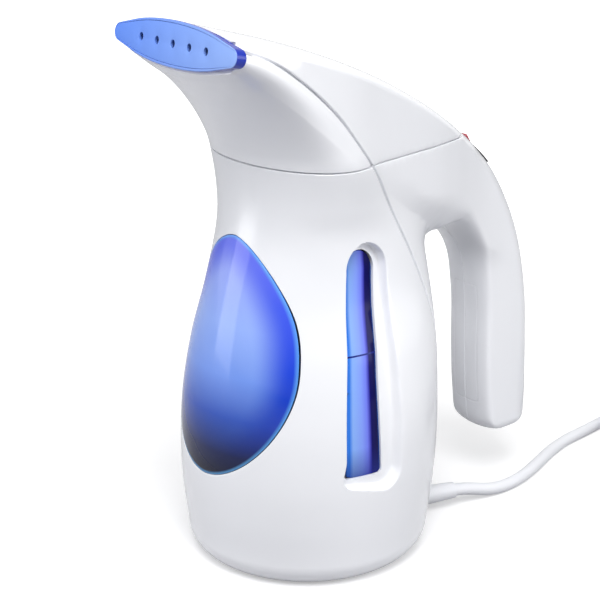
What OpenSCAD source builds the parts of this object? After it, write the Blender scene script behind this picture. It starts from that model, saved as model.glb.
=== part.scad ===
// Handheld garment steamer with a twist-off head.
// The nozzle points along -X, +Z is up, Y = 0 is the mirror plane of the casing.
// The origin is the middle of the flat base that rests on the table.

/* [Body] */
// radius of the body just above the table
base_r = 53.5; // [48:0.5:58]
// rounding of the bottom edge
base_round = 11; // [6:0.5:14]
// radius of the belly
belly_r = 57; // [52:0.5:62]
// height of the belly
belly_z = 50; // [42:1:58]
// half width of the waist under the head
waist_r = 38.5; // [34:0.5:42]
// half width of the neck at the seam
neck_half = 43.8; // [40:0.2:47]
// distance from the tank axis to the front of the neck
neck_front = 36.7; // [34:0.1:40]
// height of the seam where the head twists off
seam_z = 182.5; // [178:0.5:188]
// wall of the casing
wall = 2.4; // [1.6:0.1:3]

/* [Nozzle] */
// reach of the nozzle plate in front of the tank axis
nozzle_reach = 66.7; // [60:0.1:75]
// height of the middle of the nozzle plate
nozzle_z = 234; // [228:0.5:240]
// half length of the nozzle
nozzle_half = 43; // [38:0.5:46]
// height of the nozzle at its middle
nozzle_tall = 18.4; // [16:0.2:22]
// backward lean of the nozzle plate, degrees
nozzle_tilt = 11; // [0:1:20]
// depth of the nozzle frame
rim_depth = 5; // [4:0.5:7]
// thickness of the nozzle plate
plate_t = 2; // [1.5:0.1:3]
// number of steam holes
steam_holes = 5; // [3:1:7]
// distance between steam holes
hole_pitch = 11.4; // [9:0.1:12]
// width of a steam hole
hole_w = 3.1; // [2:0.1:4]
// height of a steam hole
hole_h = 3.6; // [3:0.1:5]

/* [Handle] */
// front face of the grip, from the tank axis
grip_x = 97; // [94:0.5:102]
// depth of the grip from front to back
grip_depth = 35; // [31:0.5:38]
// half width of the grip
grip_half = 13.2; // [12:0.2:16]
// height of the free lower end
grip_end_z = 26.5; // [22:0.5:34]
// width of the strip that closes the grip
cover_w = 15; // [10:0.5:18]

/* [Windows] */
// half width of the front window
window_half = 38.8; // [30:0.2:42]
// top of the front window
window_top = 151; // [140:0.5:156]
// height of the widest place of the front window
window_mid = 92; // [80:1:100]
// bottom of the front window
window_bottom = 48; // [40:0.5:60]
// depth of the gauge pocket in the side
pocket_depth = 5; // [3:0.5:7]
// half width of the gauge glass at its top
gauge_half = 8; // [5:0.5:9]
// pocket rim around the gauge glass
pocket_rim = 3.6; // [3:0.1:6]
// how far the pocket lies behind the glass
pocket_back = 2.4; // [0:0.1:2.6]

/* [Tank] */
// outer radius of the tank
tank_r = 42; // [36:0.5:44]
// wall of the tank
tank_wall = 2; // [1.5:0.1:3]
// height of the tank floor
tank_z = 38; // [34:0.5:44]
// radius of the filling mouth
mouth_r = 20; // [16:0.5:22]

/* [Heater] */
// thickness of the heater plate
heater_t = 4; // [3:0.5:6]
// radius of the heating tube's bend
element_r = 26; // [20:0.5:30]
// diameter of the heating tube
element_d = 6.5; // [5:0.5:8]

/* [Switch] */
// length of the switch frame along the spine
switch_len = 24; // [20:0.5:28]
// width of the switch frame
switch_w = 15; // [12:0.5:18]
// length of the rocker
rocker_len = 18; // [15:0.5:20]
// width of the rocker
rocker_w = 8.5; // [7:0.5:10]
// tilt of the rocker to each side, degrees
rocker_tilt = 9; // [5:1:12]
// diameter of the rocker's pin
pin_d = 2.4; // [2:0.2:3]

/* [Cord] */
// diameter of the cord
cord_d = 6; // [5:0.5:7]
// loops of the coiled length
coil_loops = 11; // [6:0.5:12]
// radius of the coil at its middle turns
coil_r = 34; // [30:0.5:36]

/* [Fits] */
// gap between pieces that are fixed together
fit = 0.15; // [0.1:0.05:0.3]
// gap between pieces that move on each other
run = 0.35; // [0.3:0.05:0.6]
// width of the seam between head and body
seam_gap = 0.6; // [0.5:0.1:1]
// width of the groove between front and rear casing
groove_gap = 0.8; // [0.5:0.1:1.5]
// radial play of the rocker's pin
pin_play = 0.06; // [0.03:0.01:0.1]

/* [Hidden] */
$fn = 40;
// points around a casing section, outside and on the hidden inside
outer_n = 40;
inner_n = 24;
// cool white of the casing
white = [0.92, 0.93, 0.95];

// Sections of the front volume, from the table up to the nozzle.
// front x, z; widest x, z; half width; back x, z; squareness of the back half
nozzle_low = nozzle_tall / 2 - 0.4;
front_rows = [
    [-base_r, 0, 0.5, 0, base_r, base_r + 0.5, 0, 2],
    [-belly_r + 3, 12, 0.8, 12, belly_r - 2.8, belly_r - 1.5, 12, 2],
    [-belly_r + 0.8, 30, 0.8, 30, belly_r - 1.2, belly_r + 0.2, 30, 2.05],
    [-belly_r, belly_z, 0.8, belly_z, belly_r - 0.3, belly_r + 0.2, belly_z, 2.15],
    [-belly_r + 1.4, 75, 1.2, 75, belly_r - 1.6, belly_r - 1.8, 75, 2.35],
    [-belly_r + 5.5, 100, -0.8, 100, belly_r - 7, belly_r - 2, 100, 2.6],
    [-waist_r - 6.8, 125, -2.5, 125, waist_r + 3.6, belly_r - 2, 125, 2.6],
    [-waist_r, 150, -4.5, 150, waist_r, belly_r - 7, 150, 2.5],
    [-neck_front + 0.6, 166, -7, 166, (waist_r + neck_half) / 2 - 0.8, 34, 166, 2.4],
    [-neck_front, seam_z, -9.8, seam_z, neck_half, 19, seam_z, 2.3],
    [-neck_front - 1.8, 190, -15.5, 193, neck_half + 0.1, 8, 199, 2.2],
    [-neck_front - 6.3, 199, -24, 204, neck_half + 0.1, -4, 210, 2.1],
    [-neck_front - 12.3, 207.5, -34, 214.5, neck_half, -17, 219.5, 2],
    [-nozzle_reach + 10.4, 215, -nozzle_reach + 21.7, 223.5, neck_half - 0.2, -34, 229, 2],
    [-nozzle_reach + 3.2, 220.5, -nozzle_reach + 10.2, nozzle_z - 4, nozzle_half + 0.3, -50, 236, 2],
    [-nozzle_reach - nozzle_low * sin(nozzle_tilt), nozzle_z - nozzle_low * cos(nozzle_tilt),
        -nozzle_reach, nozzle_z, nozzle_half, -nozzle_reach + nozzle_low * sin(nozzle_tilt),
        nozzle_z + nozzle_low * cos(nozzle_tilt), 2]];

// Sections of the rear volume, from the nozzle along the spine to the end of the grip.
// spine x, z; inner x, z; crown height; inner rounding; flare of the rounding
grip_back = grip_x + grip_depth;
rear_rows = [
    [-nozzle_reach + 1.8, nozzle_z + 8.9, -nozzle_reach - 1.7, nozzle_z - 8.6, 8.9, 8.5, 1],
    [-44, 237.5, -52, 222, 4.8, 6, 1],
    [-24, 232, -38, 210, 5.2, 9, 1],
    [-3.6, 225, -24, 198, 5.5, 9, 1],
    [17.6, 216.2, -10, 186, 5.8, 9, 1],
    [39.6, 205.4, 3, 170, 6.4, 9, 1],
    [59.2, 194.4, 18, 154, 7, 14, 1.1],
    [73.3, 185.6, 32, 141, 7.6, 26, 1.3],
    [82.8, 179.2, 45, 134.5, 8, 30, 1.5],
    [89.7, 173.5, 56, 133, 8.4, 26, 1.6],
    [96.3, 167.6, 64.2, 136.1, 8.8, 18, 1.5],
    [102.2, 161.4, 71, 138, 9.2, 12, 1.3],
    [108, 153.9, 78.3, 135.6, 9.6, 8, 1.1],
    [113.4, 145.4, 85.3, 129.3, 10, 6, 1],
    [118.4, 136.1, grip_x - 6.4, 122, 10.4, 5, 1],
    [grip_back - 8.6, 124, grip_x - 3.6, 114.5, 10.8, 4.5, 1],
    [grip_back - 4.7, 110, grip_x - 1.9, 104, 11, 4.5, 1],
    [grip_back - 1.5, 92, grip_x - 0.5, 90, 11, 4.5, 1],
    [grip_back, 72, grip_x, 72, 11, 4.5, 1],
    [grip_back + 0.8, 55, grip_x + 1, 55, 11, 4.5, 1],
    [grip_back + 1.2, grip_end_z + 17, grip_x + 2.2, grip_end_z + 17, 11, 4.5, 1],
    [grip_back + 1, grip_end_z + 6, grip_x + 4, grip_end_z + 6.2, 11, 4.5, 1],
    [grip_back - 0.8, grip_end_z + 1.5, grip_x + 7.5, grip_end_z + 1.6, 10, 6, 1],
    [grip_back - 5, grip_end_z, grip_x + 12, grip_end_z, 7, 7, 1]];

// Half width of the rear volume over x: wide at the nozzle, tapering to the grip.
rear_half = [[-70, nozzle_half - 0.5], [-40, neck_half - 1.2], [-10, neck_half - 2], [10, neck_half - 5.6],
    [45, neck_half - 12.6], [62, grip_half + 13.1], [75, grip_half + 8.6], [88, grip_half + 4.6],
    [100, grip_half + 2.2], [112, grip_half + 0.7], [130, grip_half]];
// The taper reaches this far in from the spine, less on the grip than above it.
taper_reach = [[100, 60], [112, 30], [125, 16]];
// The last rows of the grip draw in towards its rounded end.
end_share = [[0, 0.72], [0.3, 0.84], [1.5, 0.95], [5, 1]];

// Line between front and rear casing in side view, from the lower back up to the nozzle.
groove_line = [[66, 43], [56, 47], [51, 55], [49, 75], [45, 98], [38.5, 119], [31, 136],
    [23.5, 150], [9.5, 173], [2.5, 182.5], [-5, 191.5], [-15.5, 204], [-26, 214], [-36, 222],
    [-46, 229], [-55, 233.8], [-72, 240]];

// Smooth curve through the rows of a table, u counts rows.
function curve(a, b, c, d, t) =
    b + 0.5 * t * ((c - a) + t * ((2 * a - 5 * b + 4 * c - d) + t * (3 * b - 3 * c + d - a)));
function row(rows, k) = k < 0 ? 2 * rows[0] - rows[1]
    : k >= len(rows) ? 2 * rows[len(rows) - 1] - rows[len(rows) - 2] : rows[k];
function along(rows, u) = let (k = min(floor(u), len(rows) - 2))
    curve(row(rows, k - 1), row(rows, k), row(rows, k + 1), row(rows, k + 2), u - k);

// Closed ring of the front volume at one row, set in by a wall.
function edge_inset(z) = z >= base_round ? 0
    : base_round - sqrt(base_round * base_round - pow(base_round - max(z, 0), 2));
function front_ring(r, inset) =
    let (mid = [r[2], r[3]], e = inset + edge_inset(r[1]), n = inset > 1 ? inner_n : outer_n)
    [for (i = [0:n - 1]) let (a = 360 * i / n, c = cos(a), s = sin(a),
        power = c >= 0 ? 1 : 2 / r[7],
        side = (c >= 0 ? [r[0], r[1]] : [r[5], r[6]]) - mid,
        p = mid + side * (1 - e / norm(side)) * pow(abs(c), power))
        [p[0], (r[4] - e) * sign(s) * pow(abs(s), power), p[1]]];

// Half outline of the rear volume: crown, flat side and inner rounding.
function rear_steps(depth, crown, turn, flare, n) = concat(
    [for (k = [0:n]) [crown * (1 - cos(90 * k / n)), sin(90 * k / n)]],
    [[crown + (depth - crown - turn) / 2, 1]],
    [for (k = [0:n]) [depth - turn * (1 - sin(90 * k / n)), pow(max(cos(90 * k / n), 0), flare)]]);
function rear_ring(r, inset) =
    let (o = [r[0], r[1]], d = [r[2], r[3]] - o, n = norm(d), dir = d / n, deep = n - 2 * inset,
        crown = min(r[4], 0.48 * deep), turn = min(r[5], 0.94 * (deep - crown)),
        steps = rear_steps(deep, crown, turn, r[6], inset > 1 ? 4 : 6),
        taper_x = r[0] - lookup(r[0], taper_reach),
        half = [for (s = steps) let (p = o + dir * (s[0] + inset),
            w = lookup(max(p[0], taper_x), rear_half) * lookup(r[1] - grip_end_z, end_share) - inset)
            [p[0], w * s[1], p[1]]], m = len(half))
    concat([for (k = [0:m - 1]) half[k]],
        [for (k = [m - 2:-1:1]) [half[k][0], -half[k][1], half[k][2]]]);

// Solid through a list of rings with equal counts.
module loft(rings) {
    n = len(rings[0]);
    m = len(rings);
    polyhedron(points = [for (r = rings) each r], faces = concat(
        [[for (i = [n - 1:-1:0]) i]],
        [[for (i = [0:n - 1]) (m - 1) * n + i]],
        [for (j = [0:m - 2]) for (i = [0:n - 1]) let (k = (i + 1) % n)
            each [[j * n + i, (j + 1) * n + k, (j + 1) * n + i],
                [j * n + i, j * n + k, (j + 1) * n + k]]]));
}

// Round tube along points, with sides around and one radius.
function unit(v) = v / norm(v);
function tube_ring(p, t, r, sides) =
    let (a = unit(cross(abs(t[2]) < 0.9 ? [0, 0, 1] : [1, 0, 0], t)), b = cross(t, a))
    [for (i = [0:sides - 1]) p + r * (cos(-360 * i / sides) * a + sin(-360 * i / sides) * b)];
function tangent(pts, k) = unit(pts[min(k + 1, len(pts) - 1)] - pts[max(k - 1, 0)]);
module tube(pts, r, sides) {
    loft([for (k = [0:len(pts) - 1]) tube_ring(pts[k], tangent(pts, k), r, sides)]);
}

// A moulding keeps its own size; its skin is one surface.
module moulded() {
    resize([0, 0, 0])
        children();
}

module front_volume(inset = 0) {
    // the hidden inside has fewer rows than the outside
    steps = inset > 1 ? concat([0, 0.25, 0.5], [for (k = [1:15]) k])
        : concat([for (k = [0:6]) k / 8], [for (k = [2:30]) k / 2]);
    rows = [for (u = steps) along(front_rows, u)];
    low = inset > 0 ? [for (p = front_ring(rows[0], inset)) p - [0, 0, 1]] : [];
    // the hollow runs on through the nozzle
    tip = front_ring(rows[len(rows) - 1], inset);
    high = inset > 0 ? [for (p = tip) p - [3, 0, 0]] : [];
    rings = [for (r = rows) front_ring(r, inset)];
    loft(concat(inset > 0 ? [low] : [], rings, inset > 0 ? [high] : []));
}

module rear_volume(inset = 0) {
    last = inset > 0 ? len(rear_rows) - 3 : len(rear_rows) - 1;
    rings = [for (u = [0:inset > 1 ? 1 : 0.5:last]) rear_ring(along(rear_rows, u), inset)];
    loft(rings);
}

module whole_skin() {
    difference() {
        union() {
            front_volume();
            rear_volume();
        }
        front_volume(wall);
        rear_volume(wall);
    }
}

// Everything in front of the groove, less a margin.
module front_side(margin) {
    line = [for (k = [0:2 * (len(groove_line) - 1)]) along(groove_line, k / 2)];
    rotate([90, 0, 0])
        linear_extrude(160, center = true)
            offset(delta = -margin)
                polygon(concat(line, [[-200, 240], [-200, -50], [line[0][0], -50]]));
}

module slab(z0, z1) {
    translate([-150, -100, z0])
        cube([400, 200, z1 - z0]);
}

// Outlines of the windows.
function window_y(t) = t > 0 ? pow(1 - pow(t, 1.8), 0.58) : pow(1 - t * t, 0.54);
module window_outline(margin) {
    up = [for (k = [0:20]) let (t = 1 - k / 10) [window_half * window_y(t),
        window_mid + t * (t > 0 ? window_top - window_mid : window_mid - window_bottom)]];
    rotate([90, 0, 90])
        mirror([0, 0, 1])
            linear_extrude(120)
                offset(delta = -margin)
                    polygon(concat(up, [for (k = [19:-1:1]) [-up[k][0], up[k][1]]]));
}
// Middle line of the gauge glass from its round top to its square foot: x, z, extra half width.
gauge_rows = [[-0.6, window_top - 12.8, 0], [-2.6, window_top - 27.3, 0], [-5.3, 107.3, 0.1], [-8, 90.7, 0.2],
    [-9.6, 73.6, 0.5], [-9.8, window_bottom + 3.2, 1]];
gauge_corner = 2;
module gauge_outline(side, grow, back = 0) {
    last = len(gauge_rows) - 1;
    middle = gauge_rows[last][0];
    low = gauge_rows[last][1] - grow;
    half = gauge_half + gauge_rows[last][2] + grow;
    // half outline of the foot: side, cut corner and bottom
    foot = [[half, low + gauge_corner], [half - 0.3 * gauge_corner, low + 0.3 * gauge_corner],
        [half - gauge_corner, low]];
    rotate([90, 0, 0])
        mirror([0, 0, side > 0 ? 1 : 0])
            linear_extrude(120)
                translate([back, 0]) {
                    translate([gauge_rows[0][0], gauge_rows[0][1]])
                        circle(gauge_half + grow, $fn = 16);
                    polygon(concat(
                        [for (k = [0:last - 1]) [gauge_rows[k][0] - gauge_half - gauge_rows[k][2] - grow,
                            gauge_rows[k][1]]],
                        [for (p = foot) [middle - p[0], p[1]]],
                        [for (k = [2:-1:0]) [middle + foot[k][0], foot[k][1]]],
                        [for (k = [last - 1:-1:0]) [gauge_rows[k][0] + gauge_half + gauge_rows[k][2] + grow,
                            gauge_rows[k][1]]]));
                }
}
module gauge_pocket(side) {
    difference() {
        gauge_outline(side, pocket_rim, pocket_back);
        front_volume(pocket_depth);
    }
}
module gauge_tray(side) {
    difference() {
        intersection() {
            front_volume();
            gauge_outline(side, pocket_rim + wall, pocket_back);
        }
        front_volume(pocket_depth + wall);
    }
}

// Places that several pieces share.
switch_at = [93.2, 0, 170.4];
switch_lean = 43;
module at_switch() {
    translate(switch_at)
        rotate([0, switch_lean, 0])
            children();
}
module at_nozzle() {
    translate([-nozzle_reach, 0, nozzle_z])
        rotate([0, -90 + nozzle_tilt, 0])
            children();
}
// Room for the nozzle frame in front of the head shells.
module nozzle_room() {
    at_nozzle()
        translate([-100, -100, -rim_depth])
            cube(200);
}
// The lens outline of the nozzle: long side along Y, short side up.
module nozzle_lens(inset) {
    hull() {
        resize([nozzle_tall - 2 * inset, 2 * (nozzle_half - 3 - inset)])
            circle(nozzle_half, $fn = 64);
        for (s = [-1, 1])
            translate([0, s * (nozzle_half - 3.8 - inset / 2)])
                circle(3.8 - inset / 2, $fn = 32);
    }
}
gland_turn = -15;
gland_z = 8;
module at_gland() {
    rotate([0, 0, gland_turn])
        translate([base_r - 9, 0, gland_z])
            rotate([0, 90, 0])
                children();
}
module screw(d, length) {
    cylinder(d = d, h = length, $fn = 24);
    translate([0, 0, -1.6])
        difference() {
            cylinder(d = 2 * d, h = 1.6, $fn = 24);
            translate([0, 0, -0.1])
                cube([0.6, 1.5 * d, 1.6], center = true);
            translate([0, 0, -0.1])
                cube([1.5 * d, 0.6, 1.6], center = true);
        }
}

module front_shell() {
    color(white)
        moulded()
            difference() {
                union() {
                    intersection() {
                        difference() {
                            front_volume();
                            front_volume(wall);
                        }
                        front_side(groove_gap / 2);
                        slab(0, seam_z - seam_gap / 2);
                    }
                    for (side = [-1, 1])
                        gauge_tray(side);
                }
                window_outline(0);
                for (side = [-1, 1]) {
                    gauge_pocket(side);
                    gauge_outline(side, 0);
                }
                at_gland()
                    cylinder(r = gland_r + fit, h = 20);
            }
}

module rear_shell() {
    color(white)
        moulded()
            difference() {
                intersection() {
                    whole_skin();
                    slab(0, seam_z - seam_gap / 2);
                }
                front_side(-groove_gap / 2);
                cover_space(0);
                at_switch()
                    translate([0, 0, -10])
                        rounded_box(switch_len + 2 * fit, switch_w + 2 * fit, 20, 3, $fn = 32);
            }
}

// The strip along the inside of the grip.
module cover_space(margin) {
    translate([grip_x - 12, -cover_w / 2 + margin, grip_end_z + 16 + margin])
        cube([24, cover_w - 2 * margin, 61 - 2 * margin]);
}
module handle_cover() {
    color(white)
        moulded()
            intersection() {
                difference() {
                    rear_volume();
                    rear_volume(wall);
                }
                cover_space(fit);
            }
}

module front_window() {
    color([0.22, 0.36, 0.85])
        moulded()
            intersection() {
                difference() {
                    front_volume(0.2);
                    front_volume(wall);
                }
                window_outline(fit);
            }
}

module gauge_glass(side) {
    color([0.55, 0.62, 0.95])
        moulded()
            intersection() {
                difference() {
                    front_volume(pocket_depth - 0.5);
                    front_volume(pocket_depth + wall);
                }
                gauge_outline(side, -fit);
            }
}
module gauge_left() {
    gauge_glass(-1);
}
module gauge_right() {
    gauge_glass(1);
}

// Tank: a turned vessel on a flange, open at the mouth.
tank_top = seam_z - 10;
tank_waist_r = mouth_r + tank_wall + 5;
flange_r = tank_r + 4;
module water_tank() {
    color([0.75, 0.82, 0.95])
        rotate_extrude($fn = 64)
            polygon([[tank_r - tank_wall - 3, tank_z], [flange_r, tank_z], [flange_r, tank_z + 3],
                [tank_r, tank_z + 3], [tank_r, 75], [tank_waist_r, 150], [mouth_r + tank_wall, 158],
                [mouth_r + tank_wall, tank_top], [mouth_r, tank_top], [mouth_r, 157],
                [tank_waist_r - tank_wall, 149], [tank_r - tank_wall, 74.5],
                [tank_r - tank_wall, tank_z + 3], [tank_r - tank_wall - 3, tank_z + 3]]);
}

// Collar on the tank's mouth; it fills the hole of the deck.
collar_r = mouth_r + tank_wall + 3.5;
deck_t = 2.5;
deck_back = 70;
deck_z = tank_top - 5;
module tank_collar() {
    color([0.80, 0.82, 0.86])
        difference() {
            union() {
                translate([0, 0, deck_z - 6])
                    cylinder(r = collar_r, h = 6 + deck_t + 4, $fn = 64);
                translate([0, 0, deck_z + deck_t])
                    cylinder(r = collar_r + 3, h = 2, $fn = 64);
            }
            translate([0, 0, deck_z - 7])
                cylinder(r = mouth_r + tank_wall + fit, h = 7 + tank_top - deck_z, $fn = 64);
            translate([0, 0, tank_top - 1])
                cylinder(r = mouth_r, h = 20, $fn = 64);
        }
}

// Deck under the head, shaped to the inside of the casing.
deck_screw_at = [[-2, 32], [-2, -32], [40, 18], [40, -18]];
module deck_plate() {
    color([0.86, 0.87, 0.89])
        moulded()
            difference() {
                intersection() {
                    union() {
                        front_volume(wall + fit);
                        rear_volume(wall + fit);
                    }
                    slab(deck_z, deck_z + deck_t);
                    translate([deck_back - 300, -150, 0])
                        cube(300);
                }
                translate([0, 0, deck_z - 1])
                    cylinder(r = collar_r + fit, h = deck_t + 2, $fn = 64);
                for (p = deck_screw_at)
                    translate([p[0], p[1], deck_z - 1])
                        cylinder(r = 1.5 + fit, h = deck_t + 2, $fn = 24);
            }
}
module deck_screws() {
    color([0.65, 0.66, 0.68])
        for (p = deck_screw_at)
            translate([p[0], p[1], deck_z + deck_t])
                mirror([0, 0, 1])
                    screw(3, 8);
}

// Heater stack under the tank.
seal_t = 1;
heater_top = tank_z - seal_t;
heater_z = heater_top - heater_t;
heater_screw_r = flange_r - 2.6;
heater_screw_turn = 20;
module heater_plate() {
    color([0.75, 0.76, 0.78])
        difference() {
            translate([0, 0, heater_z])
                cylinder(r = flange_r, h = heater_t, $fn = 64);
            for (a = [0:90:270])
                rotate([0, 0, a + heater_screw_turn])
                    translate([heater_screw_r, 0, heater_z - 1])
                        cylinder(d = 3 + 2 * fit, h = heater_t + 2, $fn = 24);
        }
}
module heater_seal() {
    color([0.75, 0.35, 0.25])
        translate([0, 0, heater_top])
            difference() {
                cylinder(r = flange_r - 5.2, h = seal_t, $fn = 64);
                translate([0, 0, -1])
                    cylinder(r = tank_r - tank_wall - 3, h = seal_t + 2, $fn = 64);
            }
}
// The heating tube is a horseshoe soldered under the plate with two cold ends.
element_z = heater_z - element_d / 2;
module heater_element() {
    color([0.45, 0.46, 0.48]) {
        translate([0, 0, element_z])
            rotate([0, 0, 40])
                rotate_extrude(angle = 280, $fn = 64)
                    translate([element_r, 0])
                        circle(d = element_d, $fn = 24);
        for (s = [-1, 1])
            rotate([0, 0, s * 40])
                translate([element_r, 0, element_z])
                    rotate([s * 90, 0, 0])
                        translate([0, 0, -1])
                            cylinder(d = element_d - 2.5, h = 9, $fn = 24);
    }
}
module heater_screws() {
    color([0.65, 0.66, 0.68])
        for (a = [0:90:270])
            rotate([0, 0, a + heater_screw_turn])
                translate([heater_screw_r, 0, heater_z])
                    screw(3, heater_t + seal_t - 0.2);
}
module thermostat() {
    color([0.30, 0.30, 0.32]) {
        translate([0, 0, heater_z - 7])
            cylinder(d = 16, h = 7, $fn = 40);
        for (s = [-1, 1])
            translate([s * 5 - 0.4, -2, heater_z - 12])
                cube([0.8, 4, 5.2]);
    }
}
module thermal_fuse() {
    color([0.85, 0.80, 0.60])
        translate([-6, 13, heater_z - 2.5])
            rotate([0, 90, 0])
                cylinder(d = 5, h = 12, $fn = 24);
}

// Base: cover, pads, screws, terminal block and cord anchorage.
cover_t = 3;
cover_r = (base_r - base_round - wall) * cos(180 / inner_n) - fit;
base_screw_r = 35.5;
base_screw_at = [for (a = [45:90:315]) base_screw_r * [cos(a), sin(a)]];
post_r = 3.8;
module base_cover() {
    color(white)
        difference() {
            union() {
                cylinder(r = cover_r, h = cover_t, $fn = 64);
                // posts that carry the heater plate
                for (p = base_screw_at)
                    translate([p[0], p[1], 0])
                        cylinder(r = post_r, h = heater_z, $fn = 32);
            }
            for (p = base_screw_at)
                translate([p[0], p[1], -1]) {
                    cylinder(d = 6.4, h = 4, $fn = 32);
                    cylinder(d = 3 + 2 * fit, h = 60, $fn = 24);
                }
            for (a = [0:90:270])
                rotate([0, 0, a])
                    translate([30, 0, -1])
                        cylinder(r = 6 + fit, h = 2.5, $fn = 40);
        }
}
module base_pads() {
    color([0.25, 0.25, 0.27])
        for (a = [0:90:270])
            rotate([0, 0, a])
                translate([30, 0, 0])
                    cylinder(r = 6, h = 1.5, $fn = 40);
}
module base_screws() {
    color([0.65, 0.66, 0.68])
        for (p = base_screw_at)
            translate([p[0], p[1], 3])
                screw(3, 12);
}
module terminal_block() {
    color([0.90, 0.90, 0.85])
        difference() {
            translate([-12, -24, cover_t])
                cube([24, 10, 11]);
            for (s = [-1, 1])
                translate([wire_route[0][0], wire_route[0][1] + s * wire_step, cover_t + 6])
                    cylinder(d = wire_d + 2 * fit, h = 8, $fn = 24);
        }
}

// Two wires from the terminal block up the back to the switch.
wire_d = 2.4;
wire_step = wire_d / 2 + 0.4;
wire_x = belly_r - wall - 4.1;
wire_route = [[8, -19, 9.2], [8, -19, 14.2], [8.4, -19, 17], [14, -17, 20], [28, -11, 20.5],
    [wire_x - 7.5, -4, 21], [wire_x, 0, 31], [wire_x, 0, 70], [wire_x - 1, 0, 105],
    [wire_x - 3.5, 0, 124], [wire_x - 2, 0, 140], [58, 0, 149.5], [68, 0, 154], [80.4, 0, 157]];
module wiring() {
    color([0.70, 0.15, 0.12])
        for (s = [-1, 1])
            tube([for (k = [0:2 * (len(wire_route) - 1)]) along(wire_route, k / 2)
                + [0, s * wire_step, 0]], wire_d / 2, 6);
}

gland_r = 5;
gland_len = 32;
module cord_gland() {
    color(white)
        at_gland()
            difference() {
                union() {
                    cylinder(r = gland_r, h = 9, $fn = 32);
                    translate([0, 0, 9])
                        cylinder(r1 = gland_r, r2 = cord_d / 2 + 0.9, h = gland_len - 9, $fn = 32);
                    translate([0, 0, -2])
                        cylinder(r = gland_r + 1, h = 2, $fn = 32);
                }
                translate([0, 0, -3])
                    cylinder(d = cord_d + 0.2, h = gland_len + 6, $fn = 32);
            }
}
clamp_x = base_r - 19.5;
module cord_clamp() {
    color([0.90, 0.90, 0.88])
        rotate([0, 0, gland_turn])
            difference() {
                translate([clamp_x - 4, -9, cover_t])
                    cube([8, 18, gland_z + cord_d / 2 + 2.5 - cover_t]);
                translate([clamp_x - 5, 0, gland_z])
                    rotate([0, 90, 0])
                        cylinder(d = cord_d + 0.2, h = 10, $fn = 32);
                for (s = [-1, 1])
                    translate([clamp_x, s * 6.4, cover_t - 1])
                        cylinder(d = 2.2 + 2 * fit, h = 40, $fn = 24);
            }
}
module clamp_screws() {
    color([0.65, 0.66, 0.68])
        rotate([0, 0, gland_turn])
            for (s = [-1, 1])
                translate([clamp_x, s * 6.4, gland_z + cord_d / 2 + 2.5])
                    mirror([0, 0, 1])
                        screw(2.2, 8);
}

// Switch on the spine, in its own frame: x along the spine, z outwards.
frame_up = 0.6;
frame_low = -3;
skirt_low = -7;
switch_deep = 16;
pin_drop = 4.5;
rocker_gap = 0.7;
skirt_x = switch_len - 3;
skirt_y = switch_w - 3;
module rounded_box(x, y, h, r) {
    linear_extrude(h)
        offset(r)
            square([x - 2 * r, y - 2 * r], center = true);
}
module box_at(x, y, z0, z1) {
    translate([-x / 2, -y / 2, z0])
        cube([x, y, z1 - z0]);
}
module switch_frame() {
    color([0.07, 0.07, 0.08])
        at_switch()
            difference() {
                union() {
                    translate([0, 0, frame_low])
                        rounded_box(switch_len, switch_w, frame_up - frame_low, 3, $fn = 32);
                    box_at(skirt_x, skirt_y, skirt_low, frame_low + 0.5);
                }
                box_at(rocker_len + 2 * rocker_gap, rocker_w + 2 * run, -40, 40);
                translate([0, 0, -pin_drop])
                    rotate([90, 0, 0])
                        cylinder(d = pin_d, h = 40, center = true, $fn = 24);
            }
}
module rocker_pin() {
    color([0.70, 0.71, 0.73])
        at_switch()
            translate([0, 0, -pin_drop])
                rotate([90, 0, 0])
                    cylinder(d = pin_d, h = skirt_y, center = true, $fn = 24);
}
module switch_body() {
    color([0.12, 0.12, 0.13])
        at_switch()
            difference() {
                box_at(skirt_x, skirt_y, -switch_deep, skirt_low);
                box_at(rocker_len + 2 * rocker_gap, rocker_w + 2 * run, -switch_deep + 3, 0);
            }
}
// The rocker has two finger slopes that meet over its pin; at rest its upper end stands out.
module rocker() {
    half = rocker_len / 2;
    color([0.55, 0.05, 0.06])
        at_switch()
            translate([0, 0, -pin_drop])
                rotate([0, rocker_tilt, 0])
                    difference() {
                        rotate([90, 0, 0])
                            linear_extrude(rocker_w, center = true)
                                polygon([[-half + 0.8, pin_drop + frame_up + 0.3], [0, pin_drop + frame_up - 0.5],
                                    [half - 0.8, pin_drop + frame_up + 0.3], [half - 0.5, 1], [3, -4], [-3, -4],
                                    [-half + 0.5, 1]]);
                        rotate([90, 0, 0])
                            cylinder(d = pin_d + 2 * pin_play, h = 40, center = true, $fn = 24);
                    }
}

module head_front_shell() {
    color(white)
        moulded()
            intersection() {
                difference() {
                    front_volume();
                    front_volume(wall);
                }
                front_side(groove_gap / 2);
                difference() {
                    slab(seam_z + seam_gap / 2, 300);
                    nozzle_room();
                }
            }
}
module head_rear_shell() {
    color(white)
        moulded()
            difference() {
                intersection() {
                    whole_skin();
                    slab(seam_z + seam_gap / 2, 300);
                }
                front_side(-groove_gap / 2);
                nozzle_room();
            }
}

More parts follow.
